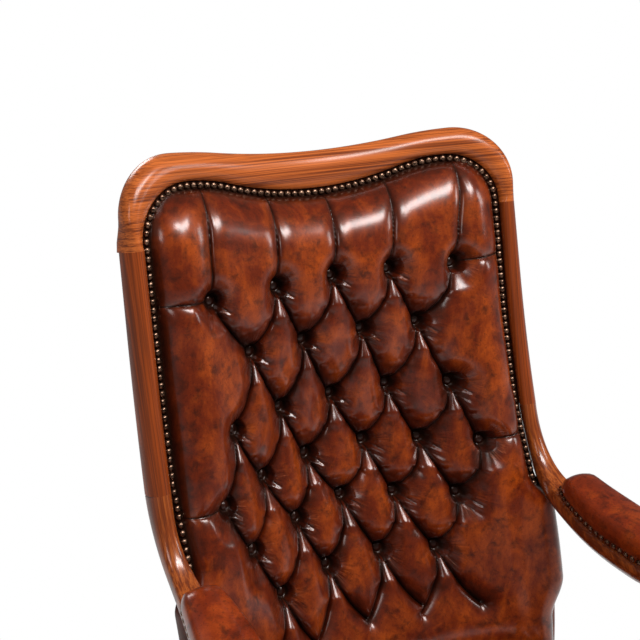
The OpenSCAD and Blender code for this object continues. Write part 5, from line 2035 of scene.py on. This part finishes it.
# floor, lamps and world
studio = {
    "floor": 0.88,
    "floorRadius": 60.0,
    "shineGlow": 0.09,    # how white the room looks in a shiny surface
    "world": 0.24,
    "sky": (1.0, 0.99, 0.97, 1),
    "lamps": [
        # name, place, aim, width, height, watts
        ("keyLamp", (0.55, -1.05, 2.80), (0.0, 0.2, 0.9), 1.15, 0.5, 40.0),
        ("cornerLamp", (-0.16, -0.95, 2.75), (-0.2, 0.2, 0.9), 0.34, 0.34, 11.0),
        ("leftLamp", (-1.9, -0.7, 2.1), (0.0, 0.2, 0.9), 0.5, 0.8, 6.5),
        ("rightLamp", (1.9, -0.9, 1.9), (0.1, 0.2, 0.8), 0.4, 0.9, 10.0),
        ("rearLamp", (-0.3, 2.3, 2.0), (0.0, 0.3, 0.9), 0.9, 0.7, 14.0),
    ],
}


def makeFloor():
    mesh = bpy.data.meshes.new("studioFloor")
    r = studio["floorRadius"]
    angles = np.linspace(0, 2 * math.pi, 64, endpoint=False)
    around = [(r * math.cos(a), r * math.sin(a), 0) for a in angles]
    mesh.from_pydata(around, [], [tuple(range(64))])
    obj = link(bpy.data.objects.new("studioFloor", mesh))
    t = MaterialTable("paleFloor")
    shade = studio["floor"]
    tone = t.noise(t.place(), 3.0, 2.0)
    t.finish(Base_Color=t.ramp(tone, [(0.3, (shade,) * 3), (0.7, (shade + 0.02,) * 3)]), Roughness=0.8)
    glow = t.add("ShaderNodeEmission", {"Strength": 1.0})
    ray = t.add("ShaderNodeLightPath").outputs
    shine = t.math("MULTIPLY", ray["Is Glossy Ray"], studio["shineGlow"])
    seen = t.math("MAXIMUM", t.math("MAXIMUM", ray["Is Camera Ray"], shine), ray["Is Transmission Ray"])
    mix = t.add("ShaderNodeMixShader", {0: seen, 1: t.shader.outputs[0], 2: glow.outputs[0]})
    t.put(t.out, 0, mix.outputs[0])
    obj.data.materials.append(t.mat)


def makeLamp(name, place, aim, width, height, watts):
    data = bpy.data.lights.new(name, "AREA")
    data.shape = "RECTANGLE"
    data.size = width
    data.size_y = height
    data.energy = watts
    obj = link(bpy.data.objects.new(name, data))
    obj.location = place
    obj.rotation_euler = (Vector(aim) - Vector(place)).to_track_quat("-Z", "Y").to_euler()


def makeWorld():
    world = bpy.data.worlds.new("studioWorld")
    world.use_nodes = True
    bpy.context.scene.world = world
    t = NodeTable(world.node_tree)
    sky = t.nodes["Background"]
    ray = t.add("ShaderNodeLightPath").outputs
    # the camera sees white, and a shiny surface a darker room than the one that lights it
    shine = t.math("MAXIMUM", ray["Is Glossy Ray"], ray["Is Transmission Ray"])
    darker = t.math("MULTIPLY", shine, studio["world"] - studio["shineGlow"])
    t.put(sky, "Color", studio["sky"])
    strength = t.math("SUBTRACT", studio["world"], darker)
    t.put(sky, "Strength", t.math("MAXIMUM", ray["Is Camera Ray"], strength))


makeFloor()
for row in studio["lamps"]:
    makeLamp(*row)
makeWorld()
bpy.context.scene.view_settings.view_transform = "Standard"
print("studio set")
